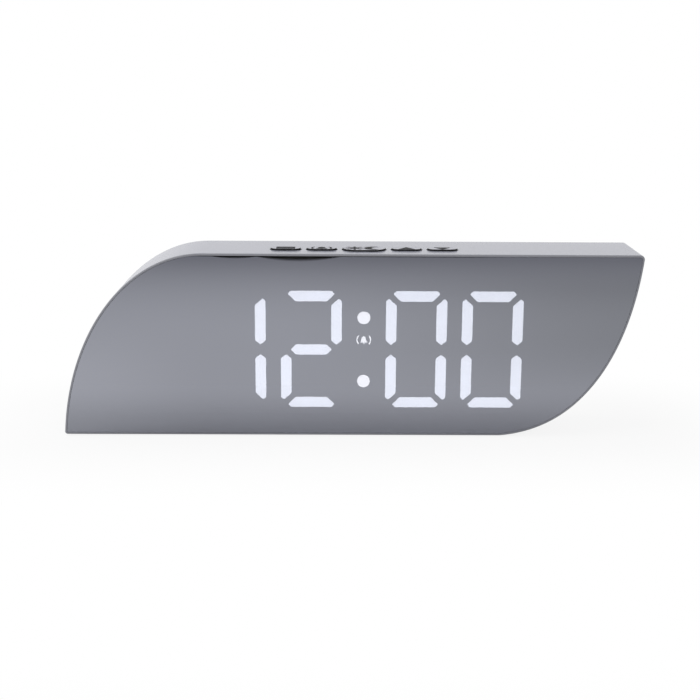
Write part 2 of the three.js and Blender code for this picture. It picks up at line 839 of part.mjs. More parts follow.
const mirrorGlass = finish("#8f929b", 0.08, 0.9);
const casingPlastic = finish("#c6c8cc", 0.35);
const coverPlastic = finish("#b9bbc0", 0.5);
const blackFoam = finish("#141416", 0.9);
const blackFilm = finish("#101013", 0.6);
const milkyPlastic = finish("#eceef6", 0.5);
const whitePlastic = finish("#f2f2f0", 0.5);
const greenBoard = finish("#1f5d3a", 0.5);
const keyPlastic = finish("#2b2c31", 0.4);
const blackPlastic = finish("#1b1b1d", 0.5);
const chipPlastic = finish("#26272a", 0.6);
const steel = finish("#b7b9bc", 0.35, 1);
const springSteel = finish("#c9c6bd", 0.3, 1);
const cellWrap = finish("#3d7a4a", 0.4);
const rubber = finish("#2a2a2a", 0.9);
const redWire = finish("#b3261e", 0.5);
const blackWire = finish("#1a1a1a", 0.5);
const greyCable = finish("#9a9ca0", 0.6);
const ceramic = finish("#b08d4f", 0.6);

// Assembly

// The middle of the object's length and the underside of its feet are at zero
const leftmost = leftEdgeAt(lowerLeftRadius);
const rightmost = rightEdgeAt(height - upperRightRadius);
const clock = new THREE.Group();
clock.position.set(-(leftmost + rightmost) / 2, 0, padProud);

function place(name, solid, material, x = 0, y = 0, z = 0) {
  const mesh = new THREE.Mesh(geometryOf(solid), material);
  mesh.name = name;
  mesh.position.set(x, y, z);
  clock.add(mesh);
  return mesh;
}

place("mirror_panel", mirrorPanel(), mirrorGlass);
place("mirror_tape", mirrorTape(), blackFoam);
place("casing", casing(), casingPlastic);
place("display_mask", pierced(maskFront, maskBack), blackFilm);
place("display_diffuser", displayDiffuser(), milkyPlastic);
place("display_reflector", pierced(diffuserBack, reflectorBack), whitePlastic);
place("main_board", mainBoard(), greenBoard);
place("key_board", keyBoard(), greenBoard);
place("rear_cover", rearCover(), coverPlastic);
place("battery_door", batteryDoor(), coverPlastic);

for (const key of keys) {
  place(`key_${key.name}`, keyCap(key), keyPlastic);
  place(`plunger_${key.name}`, keyPlunger(key), blackPlastic);
  place(`switch_${key.name}`, keySwitch(key), steel);
}

boardScrews.forEach(([x, z], i) => {
  place(`board_screw_${i + 1}`, pointedScrew(boardScrewLength, false), steel, x, boardBack, z);
});

coverScrews.forEach(([x, z], i) => {
  place(`cover_screw_${i + 1}`, pointedScrew(coverScrewLength, true), steel,
    x, back - screwHeadHeight, z);
});

keyBoardScrews.forEach((x, i) => {
  const screw = place(`key_board_screw_${i + 1}`, pointedScrew(keyBoardScrewLength, false), steel,
    x, keyBoardScrewY, keyBoardBottom);
  screw.rotation.x = -Math.PI / 2;
});

padPlaces.forEach(([x, y], i) => {
  const pad = barAlongZ(0, 0, padRadius, -padProud, padThickness - padProud, 16);
  place(`foot_pad_${i + 1}`, pad, rubber, x, y, 0);
});

// The middle cell lies the other way round
for (let i = 0; i < cellCount; i += 1) {
  const nubRight = i % 2 === 0;
  const cell = place(`battery_cell_${i + 1}`, batteryCell(), cellWrap,
    nubRight ? bayLeft + springSide : bayRight - springSide, cellMiddleY, cellMiddleZ(i));
  cell.rotation.z = nubRight ? -Math.PI / 2 : Math.PI / 2;
}

// Contacts at the left end, and the same turned half round about Z for the right end
const cellLevels = [0, 1, 2].map(cellMiddleZ);
place("contact_negative", join([springContact(cellLevels[0]), tail(cellLevels[0])]), springSteel,
  bayLeft + contactGap, cellMiddleY, 0);
place("contact_bridge_left", join([
  bumpContact(cellLevels[1]),
  springContact(cellLevels[2]),
  bridge(cellLevels[1], cellLevels[2]),
]), springSteel, bayLeft + contactGap, cellMiddleY, 0);
place("contact_bridge_right", join([
  bumpContact(cellLevels[0]),
  springContact(cellLevels[1]),
  bridge(cellLevels[0], cellLevels[1]),
]), springSteel, bayRight - contactGap, cellMiddleY, 0).rotation.z = Math.PI;
place("contact_positive", join([bumpContact(cellLevels[2]), tail(cellLevels[2])]), springSteel,
  bayRight - contactGap, cellMiddleY, 0).rotation.z = Math.PI;

place("buzzer", canOf(buzzerRadius, buzzerHeight), blackPlastic,
  buzzerMiddleX, coverFront - clearance - buzzerHeight, buzzerMiddleZ);

place("inlet_board", block(0, inletBoardWidth, -inletBoardLength, 0, 0, inletBoardThickness),
  greenBoard, inletLeft, coverFront - clearance, inletBottom);
place("power_socket", usbSocket(), steel,
  inletLeft + (inletBoardWidth - socketWidth) / 2, back - 0.8 - socketLength,
  inletBottom + inletBoardThickness);

// Parts on the back of the main board, in the room to the left of the bay
const chipLeft = bayLeft - bayWall - 24;
place("controller_chip", block(0, 10, 0, 1.6, 0, 10), chipPlastic,
  chipLeft, boardBack, displayMiddleZ - 2);
place("driver_chip", block(0, 10.3, 0, 2.3, 0, 7.5), chipPlastic,
  chipLeft, boardBack, displayMiddleZ - 14);
place("crystal", block(0, 2.2, 0, 2.2, 0, 7), steel,
  chipLeft + 13, boardBack, displayMiddleZ - 1);
place("capacitor_1", canOf(2.5, 7), blackPlastic, chipLeft - 7, boardBack, displayMiddleZ + 9);
place("capacitor_2", canOf(2.5, 7), blackPlastic, chipLeft - 7, boardBack, displayMiddleZ + 1);
place("temperature_sensor", canOf(1.2, 3), ceramic, chipLeft + 14, boardBack, displayMiddleZ - 12);

// Leads between the boards and the bay
const ribbonMiddle = chipLeft + 12;
place("key_ribbon", ribbonCable(ribbonMiddle - 4, ribbonMiddle + 4, [
  [keyBoardScrewY + 1, keyBoardBottom - 0.3],
  [keyBoardScrewY + 0.5, keyBoardBottom - 3],
  [boardBack + 3, boardTop - 5],
  [boardBack + 0.3, boardTop - 8],
], 0.4), greyCable);
place("battery_lead_black", lead([
  [bayLeft - bayWall - 1.6, cellMiddleY - 1.6, cellLevels[0]],
  [bayLeft - bayWall - 2.6, cellMiddleY - 3, cellLevels[0] + 1],
  [bayLeft - bayWall - 3.4, boardBack + 2, cellLevels[0] + 3],
  [bayLeft - bayWall - 3.4, boardBack + 0.3, cellLevels[0] + 3],
], 0.6), blackWire);
place("battery_lead_red", lead([
  [bayRight + bayWall + 1.6, cellMiddleY - 1.6, cellLevels[2]],
  [bayRight + bayWall + 2.6, cellMiddleY - 3, cellLevels[2] - 1],
  [bayRight + bayWall + 3.4, boardBack + 2, cellLevels[2] - 3],
  [bayRight + bayWall + 3.4, boardBack + 0.3, cellLevels[2] - 3],
], 0.6), redWire);

export default clock;
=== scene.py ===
"""Digital desk clock: a leaf-shaped casing with a full mirror front and light-up numbers.

Lengths are in millimetres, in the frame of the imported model, and become metres where Blender
takes them. X runs left to right as seen from the front, the front faces -Y, and Z is up.
"""
import json
import math

import bmesh
import bpy
from mathutils import Matrix, Vector


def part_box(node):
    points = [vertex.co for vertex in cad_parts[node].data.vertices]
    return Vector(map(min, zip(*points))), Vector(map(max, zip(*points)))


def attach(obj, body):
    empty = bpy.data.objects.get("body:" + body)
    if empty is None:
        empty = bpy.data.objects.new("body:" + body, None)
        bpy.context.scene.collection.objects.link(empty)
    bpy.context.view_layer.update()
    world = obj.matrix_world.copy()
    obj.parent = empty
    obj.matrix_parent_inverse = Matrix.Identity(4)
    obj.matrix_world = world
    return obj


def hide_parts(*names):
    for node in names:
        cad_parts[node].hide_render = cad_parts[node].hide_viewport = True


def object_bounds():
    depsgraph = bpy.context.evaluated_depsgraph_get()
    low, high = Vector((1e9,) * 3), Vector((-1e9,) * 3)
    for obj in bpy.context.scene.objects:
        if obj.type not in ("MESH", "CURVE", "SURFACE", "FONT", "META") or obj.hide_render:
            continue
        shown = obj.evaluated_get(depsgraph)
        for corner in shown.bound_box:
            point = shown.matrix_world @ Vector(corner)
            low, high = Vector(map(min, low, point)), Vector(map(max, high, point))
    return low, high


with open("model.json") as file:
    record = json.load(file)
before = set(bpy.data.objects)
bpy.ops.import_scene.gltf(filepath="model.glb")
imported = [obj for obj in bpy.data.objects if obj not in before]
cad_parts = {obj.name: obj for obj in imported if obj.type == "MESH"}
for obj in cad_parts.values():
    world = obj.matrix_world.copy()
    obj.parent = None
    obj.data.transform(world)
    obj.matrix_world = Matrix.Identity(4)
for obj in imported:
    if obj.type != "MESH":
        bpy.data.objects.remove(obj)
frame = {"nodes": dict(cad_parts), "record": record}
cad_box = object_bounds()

MM = 0.001
# A length too small to see, for telling whether two places are the same
HAIR = 0.001
# How far a cut runs past the face that it starts from
CUT_PAST = 1
# Angles between two faces, in degrees, up to which they are joined or shaded as one, and the
# angle from which their edge is rounded
FLAT_ANGLE = 1
SHARP_ANGLE = 38
BEVEL_ANGLE = 50

# Outline of the casing as seen from the front, measured from its left tip and its underside
WIDTH = 177
LEFT_CURVE_RUN = 43.61
LEFT_CURVE_DROP = 5.15
RIGHT_CURVE_RUN = 49.04
RIGHT_CURVE_RISE = 75.47
RIGHT_CURVE_POWER = 2.343
RIGHT_CURVE_OVERHANG = 1.44
RIGHT_CURVE_SINK = 0.24
LOWER_LEFT_RADIUS = 0.8
UPPER_RIGHT_RADIUS = 1.4
CURVE_STEPS = 48
CORNER_STEPS = 8
SHORTEST_SIDE = 0.02

# Mirror panel, inside a thin rim of the casing
MIRROR_RIM = 0.65
MIRROR_GAP = 0.15
SIDE_GAP = 0.03
GAP_CLOSING = (32, 50)
PANEL_CHAMFER = 0.05
DIPS = ({"middle": 72.8, "length": 26, "drop": 0.68},
        {"middle": 53.6, "length": 14.4, "drop": 0.3})
# Painted shade under each dip: the coat fades in below a dip over this many times its depth, and
# over this length more
DIP_SHADE_FADE = 1.3
LEAST_DIP_SHADE_FADE = 0.01
TOP_STEPS = 160
# Painted reflection: where the coat is drawn darker or lighter, for the surroundings it mirrors:
# along each axis, from none to all of it
DARKER_REFLECTION_PAINT = (("X", -25, 95), ("Z", 2, 33), ("Z", 60, 45))
LIGHTER_REFLECTION_PAINT = (("X", -40, -90), ("Z", 40, 18))
RIPPLE_LENGTH = 25
RIPPLE_DEPTH = 0.004
# A face is part of the front or the back where its normal lies at least this much along Y
PANEL_FACING = 0.95

# Casing
WALL = 2.2
FRONT_PLATE = 1.5
COVER_LIP = 1.1
COVER_THICKNESS = 2
REAR_EDGE = 0.5
FRONT_EDGE = 0.4
EDGE_STEPS = 4
CLEARANCE = 0.3
# The front plate's faces look forwards at least this much, and lie this near to its front
PLATE_FACING = 0.1
PLATE_REACH = 0.15

# Numbers: four cells of seven segments with a colon in the middle
SHOWN_TIME = "1200"
LIT_SEGMENTS = {"1": "bc", "2": "abged", "0": "abcdef"}
WINDOW_MARGIN = 1.2
NUMBER_SPACING = 4.58
COLON_ROOM = 13.51
SEGMENT_WIDTH = 3.3
SEGMENT_CHAMFER = 0.95
SEGMENT_END_INSET = 2.2
MIDDLE_END_INSET = 3.05
MIDDLE_HALF_GAP = 1.5
SEGMENT_ROUNDING = 0.3
COLON_RADIUS = 2
COLON_SPREAD = 20.05
LIT_BELL_ABOVE_MIDDLE = 3.1
LIT_BELL_SIZE = 1.25
LIT_WAVE_RADIUS = 1.9
WINDOW_PLAY = 0.03
WINDOW_SUNK = 0.05
WINDOW_BACK = 0.02
FILM_OVERLAP = 0.28

# Bell and sound waves for a size of 1. The profile is half of the bell, as distances to the
# side and up from its middle
BELL_PROFILE = ((0, 1), (0.12, 0.98), (0.14, 0.86), (0.36, 0.74), (0.52, 0.5), (0.58, 0.1),
                (0.64, -0.3), (0.9, -0.58), (0.9, -0.7), (0, -0.7))
CLAPPER_DROP = 0.86
CLAPPER_RADIUS = 0.2
WAVE_OUTER_RADIUS = 1.2
WAVE_HALF_TURN = 40

# Keys, each with a flange under the casing and a shallow dish in its top
KEY_NAMES = ("mode", "alarm", "snooze", "up", "down")
KEY_FLANGE_REACH = 0.55
KEY_FLANGE_THICKNESS = 0.8
# The key's top: how far in from its side and how far down from its highest place
KEY_CROWN = ((0, 0.2), (0.04, 0.1), (0.1, 0.04), (0.2, 0), (0.32, 0), (0.6, 0.05), (1.2, 0.08))
PAINTED_DEPTH = 0.09
KEY_TOP_FACING = 0.98
PRINT_DEPTHS = (0.1, 0.03)

# Signs on the keys. The moon and the lamp are placed from the key's middle, to the right, and
# the moon's hollow from the moon's own middle
BAR_SIZE = (5.8, 1)
BAR_SPACING = 1.5
PRINTED_BELL_SIZE = 2
PRINTED_BELL_RAISE = 0.1
PRINTED_WAVE_RADIUS = 2.7
MOON_PLACE = 2.7
MOON_RADIUS = 2.7
MOON_HALF_OPENING = 50
HOLLOW_PLACE = 1.6
HOLLOW_RADIUS = 2.07
HOLLOW_HALF_TURN = 86
LAMP_PLACE = -2.9
LAMP_RADIUS = 1.4
RAYS = 8
RAY_REACH = (1.8, 2.8)
RAY_HALF_WIDTH = 0.32
ARROW_HALF_WIDTH = 2.6
ARROW_BACK = 1.8
ARROW_TIP = 2.1

# Battery door: grip lines and an arrow, cut into its back, at heights over its lower edge
GRIP_LINES = 5
GRIP_LENGTH = 18
GRIP_WIDTH = 0.7
GRIP_SPACING = 1.6
GRIP_HEIGHT = 3
GRIP_DEPTH = 0.35
DOOR_ARROW_HALF_WIDTH = 3
DOOR_ARROW_HEIGHTS = (12.5, 16.5)
DOOR_ARROW_DEPTH = 0.25

# Battery cells
CELLS = 3
CELL_BAND = 12
CELL_BARE_RING = 0.3
CELL_END_FACING = 0.8

# Feet, and as many screws in the rear cover
FEET = 4

# Camera, with its turns in degrees
CAMERA_PLACE = (-3.82, -395.08, 120.2)
CAMERA_PITCH = 13.615
CAMERA_YAW = -0.532
CAMERA_ROLL = 0.349
CAMERA_LENS = 66.0
CAMERA_SENSOR = 36
CAMERA_RANGE = (10, 20000)

# Floor and light
FLOOR_HALF = 2500
# Painted shade: far in front of the clock the floor is drawn darker, from the first distance to
# the second, along this power
FLOOR_PAINTED_FALLOFF = (-160, -350)
FLOOR_PAINTED_FALLOFF_POWER = 1.8
# How far the clock's shadow reaches, and how white the floor in it stays to the camera
SHADOW_REACH = 60
LEAST_WHITE = 0.88
AMBIENT_LIGHT = 0.62
SOFTBOX_PLACE = (-600, -100, 700)
SOFTBOX_SIZE = (900, 700)
SOFTBOX_POWER = 3.8


# The clock's outline in the frame


def span(node):
    """Lowest and highest corner of a CAD node, in millimetres."""
    low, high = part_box(node)
    return low / MM, high / MM


def left_edge(z):
    rise = height + LEFT_CURVE_DROP
    return LEFT_CURVE_RUN * (1 - math.sqrt(max(0, 1 - ((z + LEFT_CURVE_DROP) / rise) ** 2)))


def right_edge(z):
    share = (RIGHT_CURVE_RISE - RIGHT_CURVE_SINK - z) / RIGHT_CURVE_RISE
    bulge = (1 - share ** RIGHT_CURVE_POWER) ** (1 / RIGHT_CURVE_POWER)
    return WIDTH + RIGHT_CURVE_OVERHANG - RIGHT_CURVE_RUN * (1 - bulge)


# Where the outline's left tip and underside lie, and the rim's lower face over the mirror
shell_low, shell_high = span("casing")
height = shell_high.z - shell_low.z
tip_x = shell_low.x - left_edge(LOWER_LEFT_RADIUS)
base_z = shell_low.z
rim_under = base_z + height - MIRROR_RIM


def gap_at(x):
    """The gap over the mirror, which closes towards the right."""
    start, end = GAP_CLOSING
    share = min(1, max(0, (x - start) / (end - start)))
    return MIRROR_GAP + (SIDE_GAP - MIRROR_GAP) * share ** 2 * (3 - 2 * share)


def dip_at(x):
    """How far the mirror's top edge dips at this distance from the left tip."""
    return max(0, *(dip["drop"] * (1 - ((x - dip["middle"]) / (dip["length"] / 2)) ** 2)
                    for dip in DIPS))


# Camera


def add_camera():
    data = bpy.data.cameras.new("camera")
    data.sensor_width = CAMERA_SENSOR
    data.lens = CAMERA_LENS
    data.clip_start, data.clip_end = (distance * MM for distance in CAMERA_RANGE)
    camera = bpy.data.objects.new("camera", data)
    bpy.context.scene.collection.objects.link(camera)
    turn = (
        Matrix.Rotation(math.radians(CAMERA_YAW), 4, "Z")
        @ Matrix.Rotation(math.radians(90 - CAMERA_PITCH), 4, "X")
        @ Matrix.Rotation(math.radians(CAMERA_ROLL), 4, "Z")
    )
    camera.matrix_world = Matrix.Translation(Vector(CAMERA_PLACE) * MM) @ turn
    bpy.context.scene.camera = camera


add_camera()


# Materials

# Detail of most noises, and two values that nearly all of a noise lies between
NOISE_DETAIL = 3.0
NOISE_LOW = 0.35
NOISE_HIGH = 0.65


def linear(code):
    """An sRGB hex colour as linear red, green, blue and alpha."""
    channels = [int(code[i:i + 2], 16) / 255 for i in (1, 3, 5)]
    return [c / 12.92 if c <= 0.04045 else ((c + 0.055) / 1.055) ** 2.4 for c in channels] + [1]


def per_mm(size):
    """Scale of a noise or other pattern whose features are this many millimetres apart."""
    return 1 / (size * MM)


def new_material(name):
    """A material and its node tree, which starts empty."""
    material = bpy.data.materials.new(name)
    material.use_nodes = True
    material.node_tree.nodes.clear()
    return material, material.node_tree


def add_node(tree, kind, output=None, values=None, links=None, **settings):
    """Adds a node, and gives back the output that is named, or else all of its outputs. The
    settings are the node's own, and the values and links go to its inputs."""
    node = tree.nodes.new(kind)
    for name, value in settings.items():
        setattr(node, name, value)
    for name, value in (values or {}).items():
        node.inputs[name].default_value = value
    for name, socket in (links or {}).items():
        tree.links.new(socket, node.inputs[name])
    return node.outputs[output] if output else node.outputs


def textured(name, low, high, size, depth, rough, detail=NOISE_DETAIL, fleck=None,
             values=None):
    """A surface whose relief, gloss and colour follow one fine texture, of this size and
    depth in millimetres. Where it has flecks, the colour follows them instead."""
    material, tree = new_material(name)
    where = add_node(tree, "ShaderNodeTexCoord", "Object")
    grain = add_node(tree, "ShaderNodeTexNoise", "Fac",
                     {"Scale": per_mm(size), "Detail": detail}, {"Vector": where})
    tint = grain
    if fleck:
        tint = add_node(tree, "ShaderNodeTexNoise", "Fac",
                        {"Scale": per_mm(fleck), "Detail": NOISE_DETAIL}, {"Vector": where})
    share = add_node(tree, "ShaderNodeMapRange", "Result",
                     {"From Min": NOISE_LOW, "From Max": NOISE_HIGH}, {"Value": tint})
    colour = add_node(tree, "ShaderNodeMix", "Result", {"A": linear(low), "B": linear(high)},
                      {"Factor": share}, data_type="RGBA")
    gloss = add_node(tree, "ShaderNodeMapRange", "Result",
                     {"To Min": rough[0], "To Max": rough[1]}, {"Value": grain})
    relief = add_node(tree, "ShaderNodeBump", "Normal", {"Distance": depth * MM},
                      {"Height": grain})
    surface = add_node(tree, "ShaderNodeBsdfPrincipled", "BSDF", values,
                       {"Base Color": colour, "Roughness": gloss, "Normal": relief})
    add_node(tree, "ShaderNodeOutputMaterial", links={"Surface": surface})
    return material


def painted_reflection_share(tree, parts, steps):
    """How much of the painted reflection there is: smooth steps along the axes, multiplied."""
    share = None
    for axis, start, end in steps:
        step = add_node(tree, "ShaderNodeMapRange", "Result",
                        {"From Min": start * MM, "From Max": end * MM}, {"Value": parts[axis]},
                        interpolation_type="SMOOTHSTEP")
        share = step if share is None else add_node(
            tree, "ShaderNodeMath", "Value", links={0: share, 1: step}, operation="MULTIPLY")
    return share


def dip_depth(tree, parts):
    """What dip_at gives, in metres, for every place on the mirror."""
    depth = None
    for dip in DIPS:
        middle, half = tip_x + dip["middle"], dip["length"] / 2
        aside = add_node(tree, "ShaderNodeMapRange", "Result", {
            "From Min": (middle - half) * MM, "From Max": (middle + half) * MM,
            "To Min": -1.0}, {"Value": parts["X"]})
        square = add_node(tree, "ShaderNodeMath", "Value", links={0: aside, 1: aside},
                          operation="MULTIPLY")
        here = add_node(tree, "ShaderNodeMapRange", "Result",
                        {"To Min": dip["drop"] * MM, "To Max": 0.0}, {"Value": square})
        depth = here if depth is None else add_node(
            tree, "ShaderNodeMath", "Value", links={0: depth, 1: here}, operation="MAXIMUM")
    return depth


def clear_of_painted_dip_shade(tree, parts):
    """How much of the coat is left where painted shade darkens it under each dip: none at the
    edge of a dip, and all of it further down, at a distance in proportion to the dip's own
    depth."""
    depth = dip_depth(tree, parts)
    edge = add_node(tree, "ShaderNodeMath", "Value", {0: (rim_under - MIRROR_GAP) * MM},
                    {1: depth}, operation="SUBTRACT")
    above_edge = add_node(tree, "ShaderNodeMath", "Value", links={0: parts["Z"], 1: edge},
                          operation="SUBTRACT")
    whole_at = add_node(tree, "ShaderNodeMath", "Value", {1: -DIP_SHADE_FADE, 2: -LEAST_DIP_SHADE_FADE * MM},
                        {0: depth}, operation="MULTIPLY_ADD")
    left = add_node(tree, "ShaderNodeMapRange", "Result",
                    links={"Value": above_edge, "From Max": whole_at})
    beside = add_node(tree, "ShaderNodeMath", "Value", {1: HAIR * MM}, {0: depth},
                      operation="LESS_THAN")
    return add_node(tree, "ShaderNodeMath", "Value", links={0: left, 1: beside},
                    operation="MAXIMUM")


def half_mirrored_acrylic():
    """Half-mirrored acrylic: a cast sheet with aluminium evaporated on it so thinly that light
    still passes. A grey mirror while the light is outside, a window where light is behind it.
    Painted reflection: the coat is drawn darker in the middle of the right half and lighter at
    the lower left, for the darker and lighter surroundings that it mirrors there. Painted shade:
    it fades to near-black below the two dips in the top edge. The sheet's own long ripples bend
    what it mirrors."""
    material, tree = new_material("half_mirrored_acrylic")
    where = add_node(tree, "ShaderNodeTexCoord", "Object")
    parts = add_node(tree, "ShaderNodeSeparateXYZ", links={"Vector": where})
    # Painted reflection: darker in the middle of the right half, lighter at the lower left
    painted_darker = add_node(tree, "ShaderNodeMix", "Result",
                       {"A": linear("#999ba4"), "B": linear("#84868d")},
                       {"Factor": painted_reflection_share(tree, parts, DARKER_REFLECTION_PAINT)}, data_type="RGBA")
    painted_lighter = add_node(tree, "ShaderNodeMix", "Result", {"B": linear("#a2a4ad")},
                       {"A": painted_darker, "Factor": painted_reflection_share(tree, parts, LIGHTER_REFLECTION_PAINT)},
                       data_type="RGBA")
    # Painted shade: under each dip the coat fades to this near-black
    coat = add_node(tree, "ShaderNodeMix", "Result", {"A": linear("#141519")},
                    {"B": painted_lighter, "Factor": clear_of_painted_dip_shade(tree, parts)}, data_type="RGBA")
    ripple = add_node(tree, "ShaderNodeTexNoise", "Fac",
                      {"Scale": per_mm(RIPPLE_LENGTH), "Detail": 0.0}, {"Vector": where})
    relief = add_node(tree, "ShaderNodeBump", "Normal", {"Distance": RIPPLE_DEPTH * MM},
                      {"Height": ripple})
    surface = add_node(tree, "ShaderNodeBsdfPrincipled", "BSDF",
                       {"Metallic": 1.0, "Roughness": 0.05, "Alpha": 0.9},
                       {"Base Color": coat, "Normal": relief})
    add_node(tree, "ShaderNodeOutputMaterial", links={"Surface": surface})
    return material


def uncoated_acrylic():
    """Uncoated back of the cast acrylic sheet, clear: the numbers' light comes through it
    unchanged."""
    material, tree = new_material("uncoated_acrylic")
    surface = add_node(tree, "ShaderNodeBsdfPrincipled", "BSDF", {
        "Base Color": linear("#8c8f96"), "Roughness": 0.05, "IOR": 1.49, "Alpha": 0.04})
    add_node(tree, "ShaderNodeOutputMaterial", links={"Surface": surface})
    return material


def painted_abs(name, low, high, rough):
    """Injection-moulded ABS with a thin silver-grey paint: even and satin, with the fine
    orange peel of sprayed lacquer and a little metal flake in it."""
    return textured(name, low, high, size=0.9, depth=0.004, rough=rough, detail=2.0,
                    fleck=0.35, values={"IOR": 1.5})


def sparked_abs(name, low, high, rough, shine):
    """Bare moulded ABS from a spark-eroded tool: a fine leathery grain that takes off the
    shine. The real grain is 0.15 mm and is drawn at 0.3 mm, so that it shows."""
    return textured(name, low, high, size=0.3, depth=0.012, rough=rough, detail=4.0,
                    values={"IOR": 1.53, "Specular IOR Level": shine})


def lit_polycarbonate(name, glow, strength):
    """Opal polycarbonate window with white light-emitting diodes behind it: a cool white
    glow, even from end to end."""
    material, tree = new_material(name)
    surface = add_node(tree, "ShaderNodeBsdfPrincipled", "BSDF", {
        "Base Color": linear("#d9dce6"), "Roughness": 0.5, "IOR": 1.58,
        "Emission Color": linear(glow), "Emission Strength": strength})
    add_node(tree, "ShaderNodeOutputMaterial", links={"Surface": surface})
    return material


def circuit_board():
    """Glass-epoxy board under green solder mask: the copper shows paler through it, in bands
    round darker squares that are some 3.5 mm apart."""
    material, tree = new_material("solder_masked_fr4")
    where = add_node(tree, "ShaderNodeTexCoord", "Object")
    squares = add_node(tree, "ShaderNodeTexVoronoi", "Distance", {"Scale": per_mm(3.5)},
                       {"Vector": where}, distance="CHEBYCHEV")
    copper = add_node(tree, "ShaderNodeMapRange", "Result", {"From Min": 0.3, "From Max": 0.34},
                      {"Value": squares})
    colour = add_node(tree, "ShaderNodeMix", "Result",
                      {"A": linear("#1c5636"), "B": linear("#2a7348")}, {"Factor": copper},
                      data_type="RGBA")
    surface = add_node(tree, "ShaderNodeBsdfPrincipled", "BSDF", {"Roughness": 0.35, "IOR": 1.5},
                       {"Base Color": colour})
    add_node(tree, "ShaderNodeOutputMaterial", links={"Surface": surface})
    return material


half_mirror = half_mirrored_acrylic()
acrylic_back = uncoated_acrylic()
# Diamond-cut edge of smoke-grey acrylic: nearly black to look into, glassy at a low angle
acrylic_edge = textured("polished_acrylic_edge", "#1b1c20", "#212227", size=0.5, depth=0.001,
                        rough=(0.1, 0.2), detail=2.0, values={"IOR": 1.49})
silver_paint = painted_abs("silver_painted_abs", "#9294a1", "#9a9caa", rough=(0.18, 0.23))
# Painted shade: the rim round the mirror is the silver paint drawn darker, for the shade on its
# forward-facing faces
rim_paint_with_painted_shade = painted_abs("silver_painted_abs_with_painted_shade", "#878890", "#8f9097", rough=(0.3, 0.38))
key_paint = painted_abs("silver_painted_key_abs", "#a9aab4", "#b1b2bd", rough=(0.3, 0.38))
cover_abs = sparked_abs("spark_textured_grey_abs", "#a9abb0", "#b4b6bb", rough=(0.45, 0.6),
                        shine=0.5)
# The keys' sides and flange are drawn near-black under their light painted tops, which gives the
# dark line along the front of each key
dark_key_sides = sparked_abs("dark_key_side_abs", "#0f0f11", "#17171a", rough=(0.4, 0.52),
                            shine=0.2)
# Pad-printing ink: a flat, matt black film
pad_ink = textured("pad_printing_ink", "#101013", "#17171b", size=0.15, depth=0.002,
                   rough=(0.55, 0.65), values={"Specular IOR Level": 0.15})
# Closed-cell polyethylene foam: matt black with open pores where it is cut
foam = textured("black_polyethylene_foam", "#0c0c0e", "#18181b", size=0.25, depth=0.05,
                rough=(0.85, 0.95))
# Screen-printed polyester film: deep black and slightly shiny
mask_film = textured("screen_printed_polyester", "#060607", "#0b0b0d", size=0.4, depth=0.001,
                     rough=(0.4, 0.5))
# Smoke-tinted polycarbonate: keeps windows that aren't lit as dark as the film round them
smoked = textured("smoked_polycarbonate", "#08080a", "#0e0e11", size=0.6, depth=0.002,
                  rough=(0.4, 0.5))
# Moulded white ABS: bright walls for the light wells
white_abs = textured("white_abs", "#e9e9e6", "#f0f0ed", size=0.3, depth=0.006,
                     rough=(0.45, 0.55))
# Moulded black PBT: matt and slightly mottled
black_pbt = textured("black_pbt", "#131315", "#1b1b1e", size=0.3, depth=0.01,
                     rough=(0.5, 0.62))
# Transfer-moulded epoxy of a chip: dark grey and dull
chip_epoxy = textured("moulded_chip_epoxy", "#1e1f21", "#28292c", size=0.12, depth=0.006,
                      rough=(0.6, 0.72))
# Zinc-plated steel: a bluish white metal with a slightly cloudy shine
zinc_steel = textured("zinc_plated_steel", "#b4b7bb", "#c6c9cd", size=0.4, depth=0.003,
                      rough=(0.26, 0.4), values={"Metallic": 1.0})
# Nickel-plated spring steel: warmer and brighter than zinc
nickel = textured("nickel_plated_steel", "#bdb9ae", "#cfcbc1", size=0.4, depth=0.002,
                  rough=(0.2, 0.32), values={"Metallic": 1.0})
# Shrunk PVC sleeve printed in plain colours: smooth and glossy, with a band at one end
cell_sleeve = textured("printed_pvc_sleeve", "#2f6e42", "#347a49", size=1.2, depth=0.004,
                       rough=(0.22, 0.3))
cell_band = textured("printed_pvc_sleeve_band", "#c9a24a", "#d2ab52", size=1.2, depth=0.004,
                     rough=(0.22, 0.3))
# Moulded silicone rubber: matt black
rubber = textured("silicone_rubber", "#1a1a1b", "#242426", size=0.3, depth=0.02,
                  rough=(0.75, 0.88))
# Extruded PVC wire insulation: smooth with a soft shine
red_pvc = textured("red_pvc_insulation", "#a3211b", "#b3261e", size=0.5, depth=0.004,
                   rough=(0.35, 0.45))
black_pvc = textured("black_pvc_insulation", "#131314", "#1b1b1c", size=0.5, depth=0.004,
                     rough=(0.35, 0.45))
# Extruded grey PVC of a flat cable: matt, and softly uneven over the width of a lead
grey_cable = textured("grey_ribbon_pvc", "#8f9195", "#9a9ca0", size=1.27, depth=0.05,
                      rough=(0.45, 0.55))
# Dipped epoxy of a small ceramic part: ochre and waxy
dipped_epoxy = textured("dipped_epoxy", "#a5813f", "#b68f4d", size=0.5, depth=0.01,
                        rough=(0.4, 0.5))
lit_window = lit_polycarbonate("lit_opal_polycarbonate", "#e4e8f4", strength=7.0)
# A colon dot or bell has a light-emitting diode to itself, and is whiter for it
lit_dot = lit_polycarbonate("brightly_lit_opal_polycarbonate", "#eeeef4", strength=7.4)

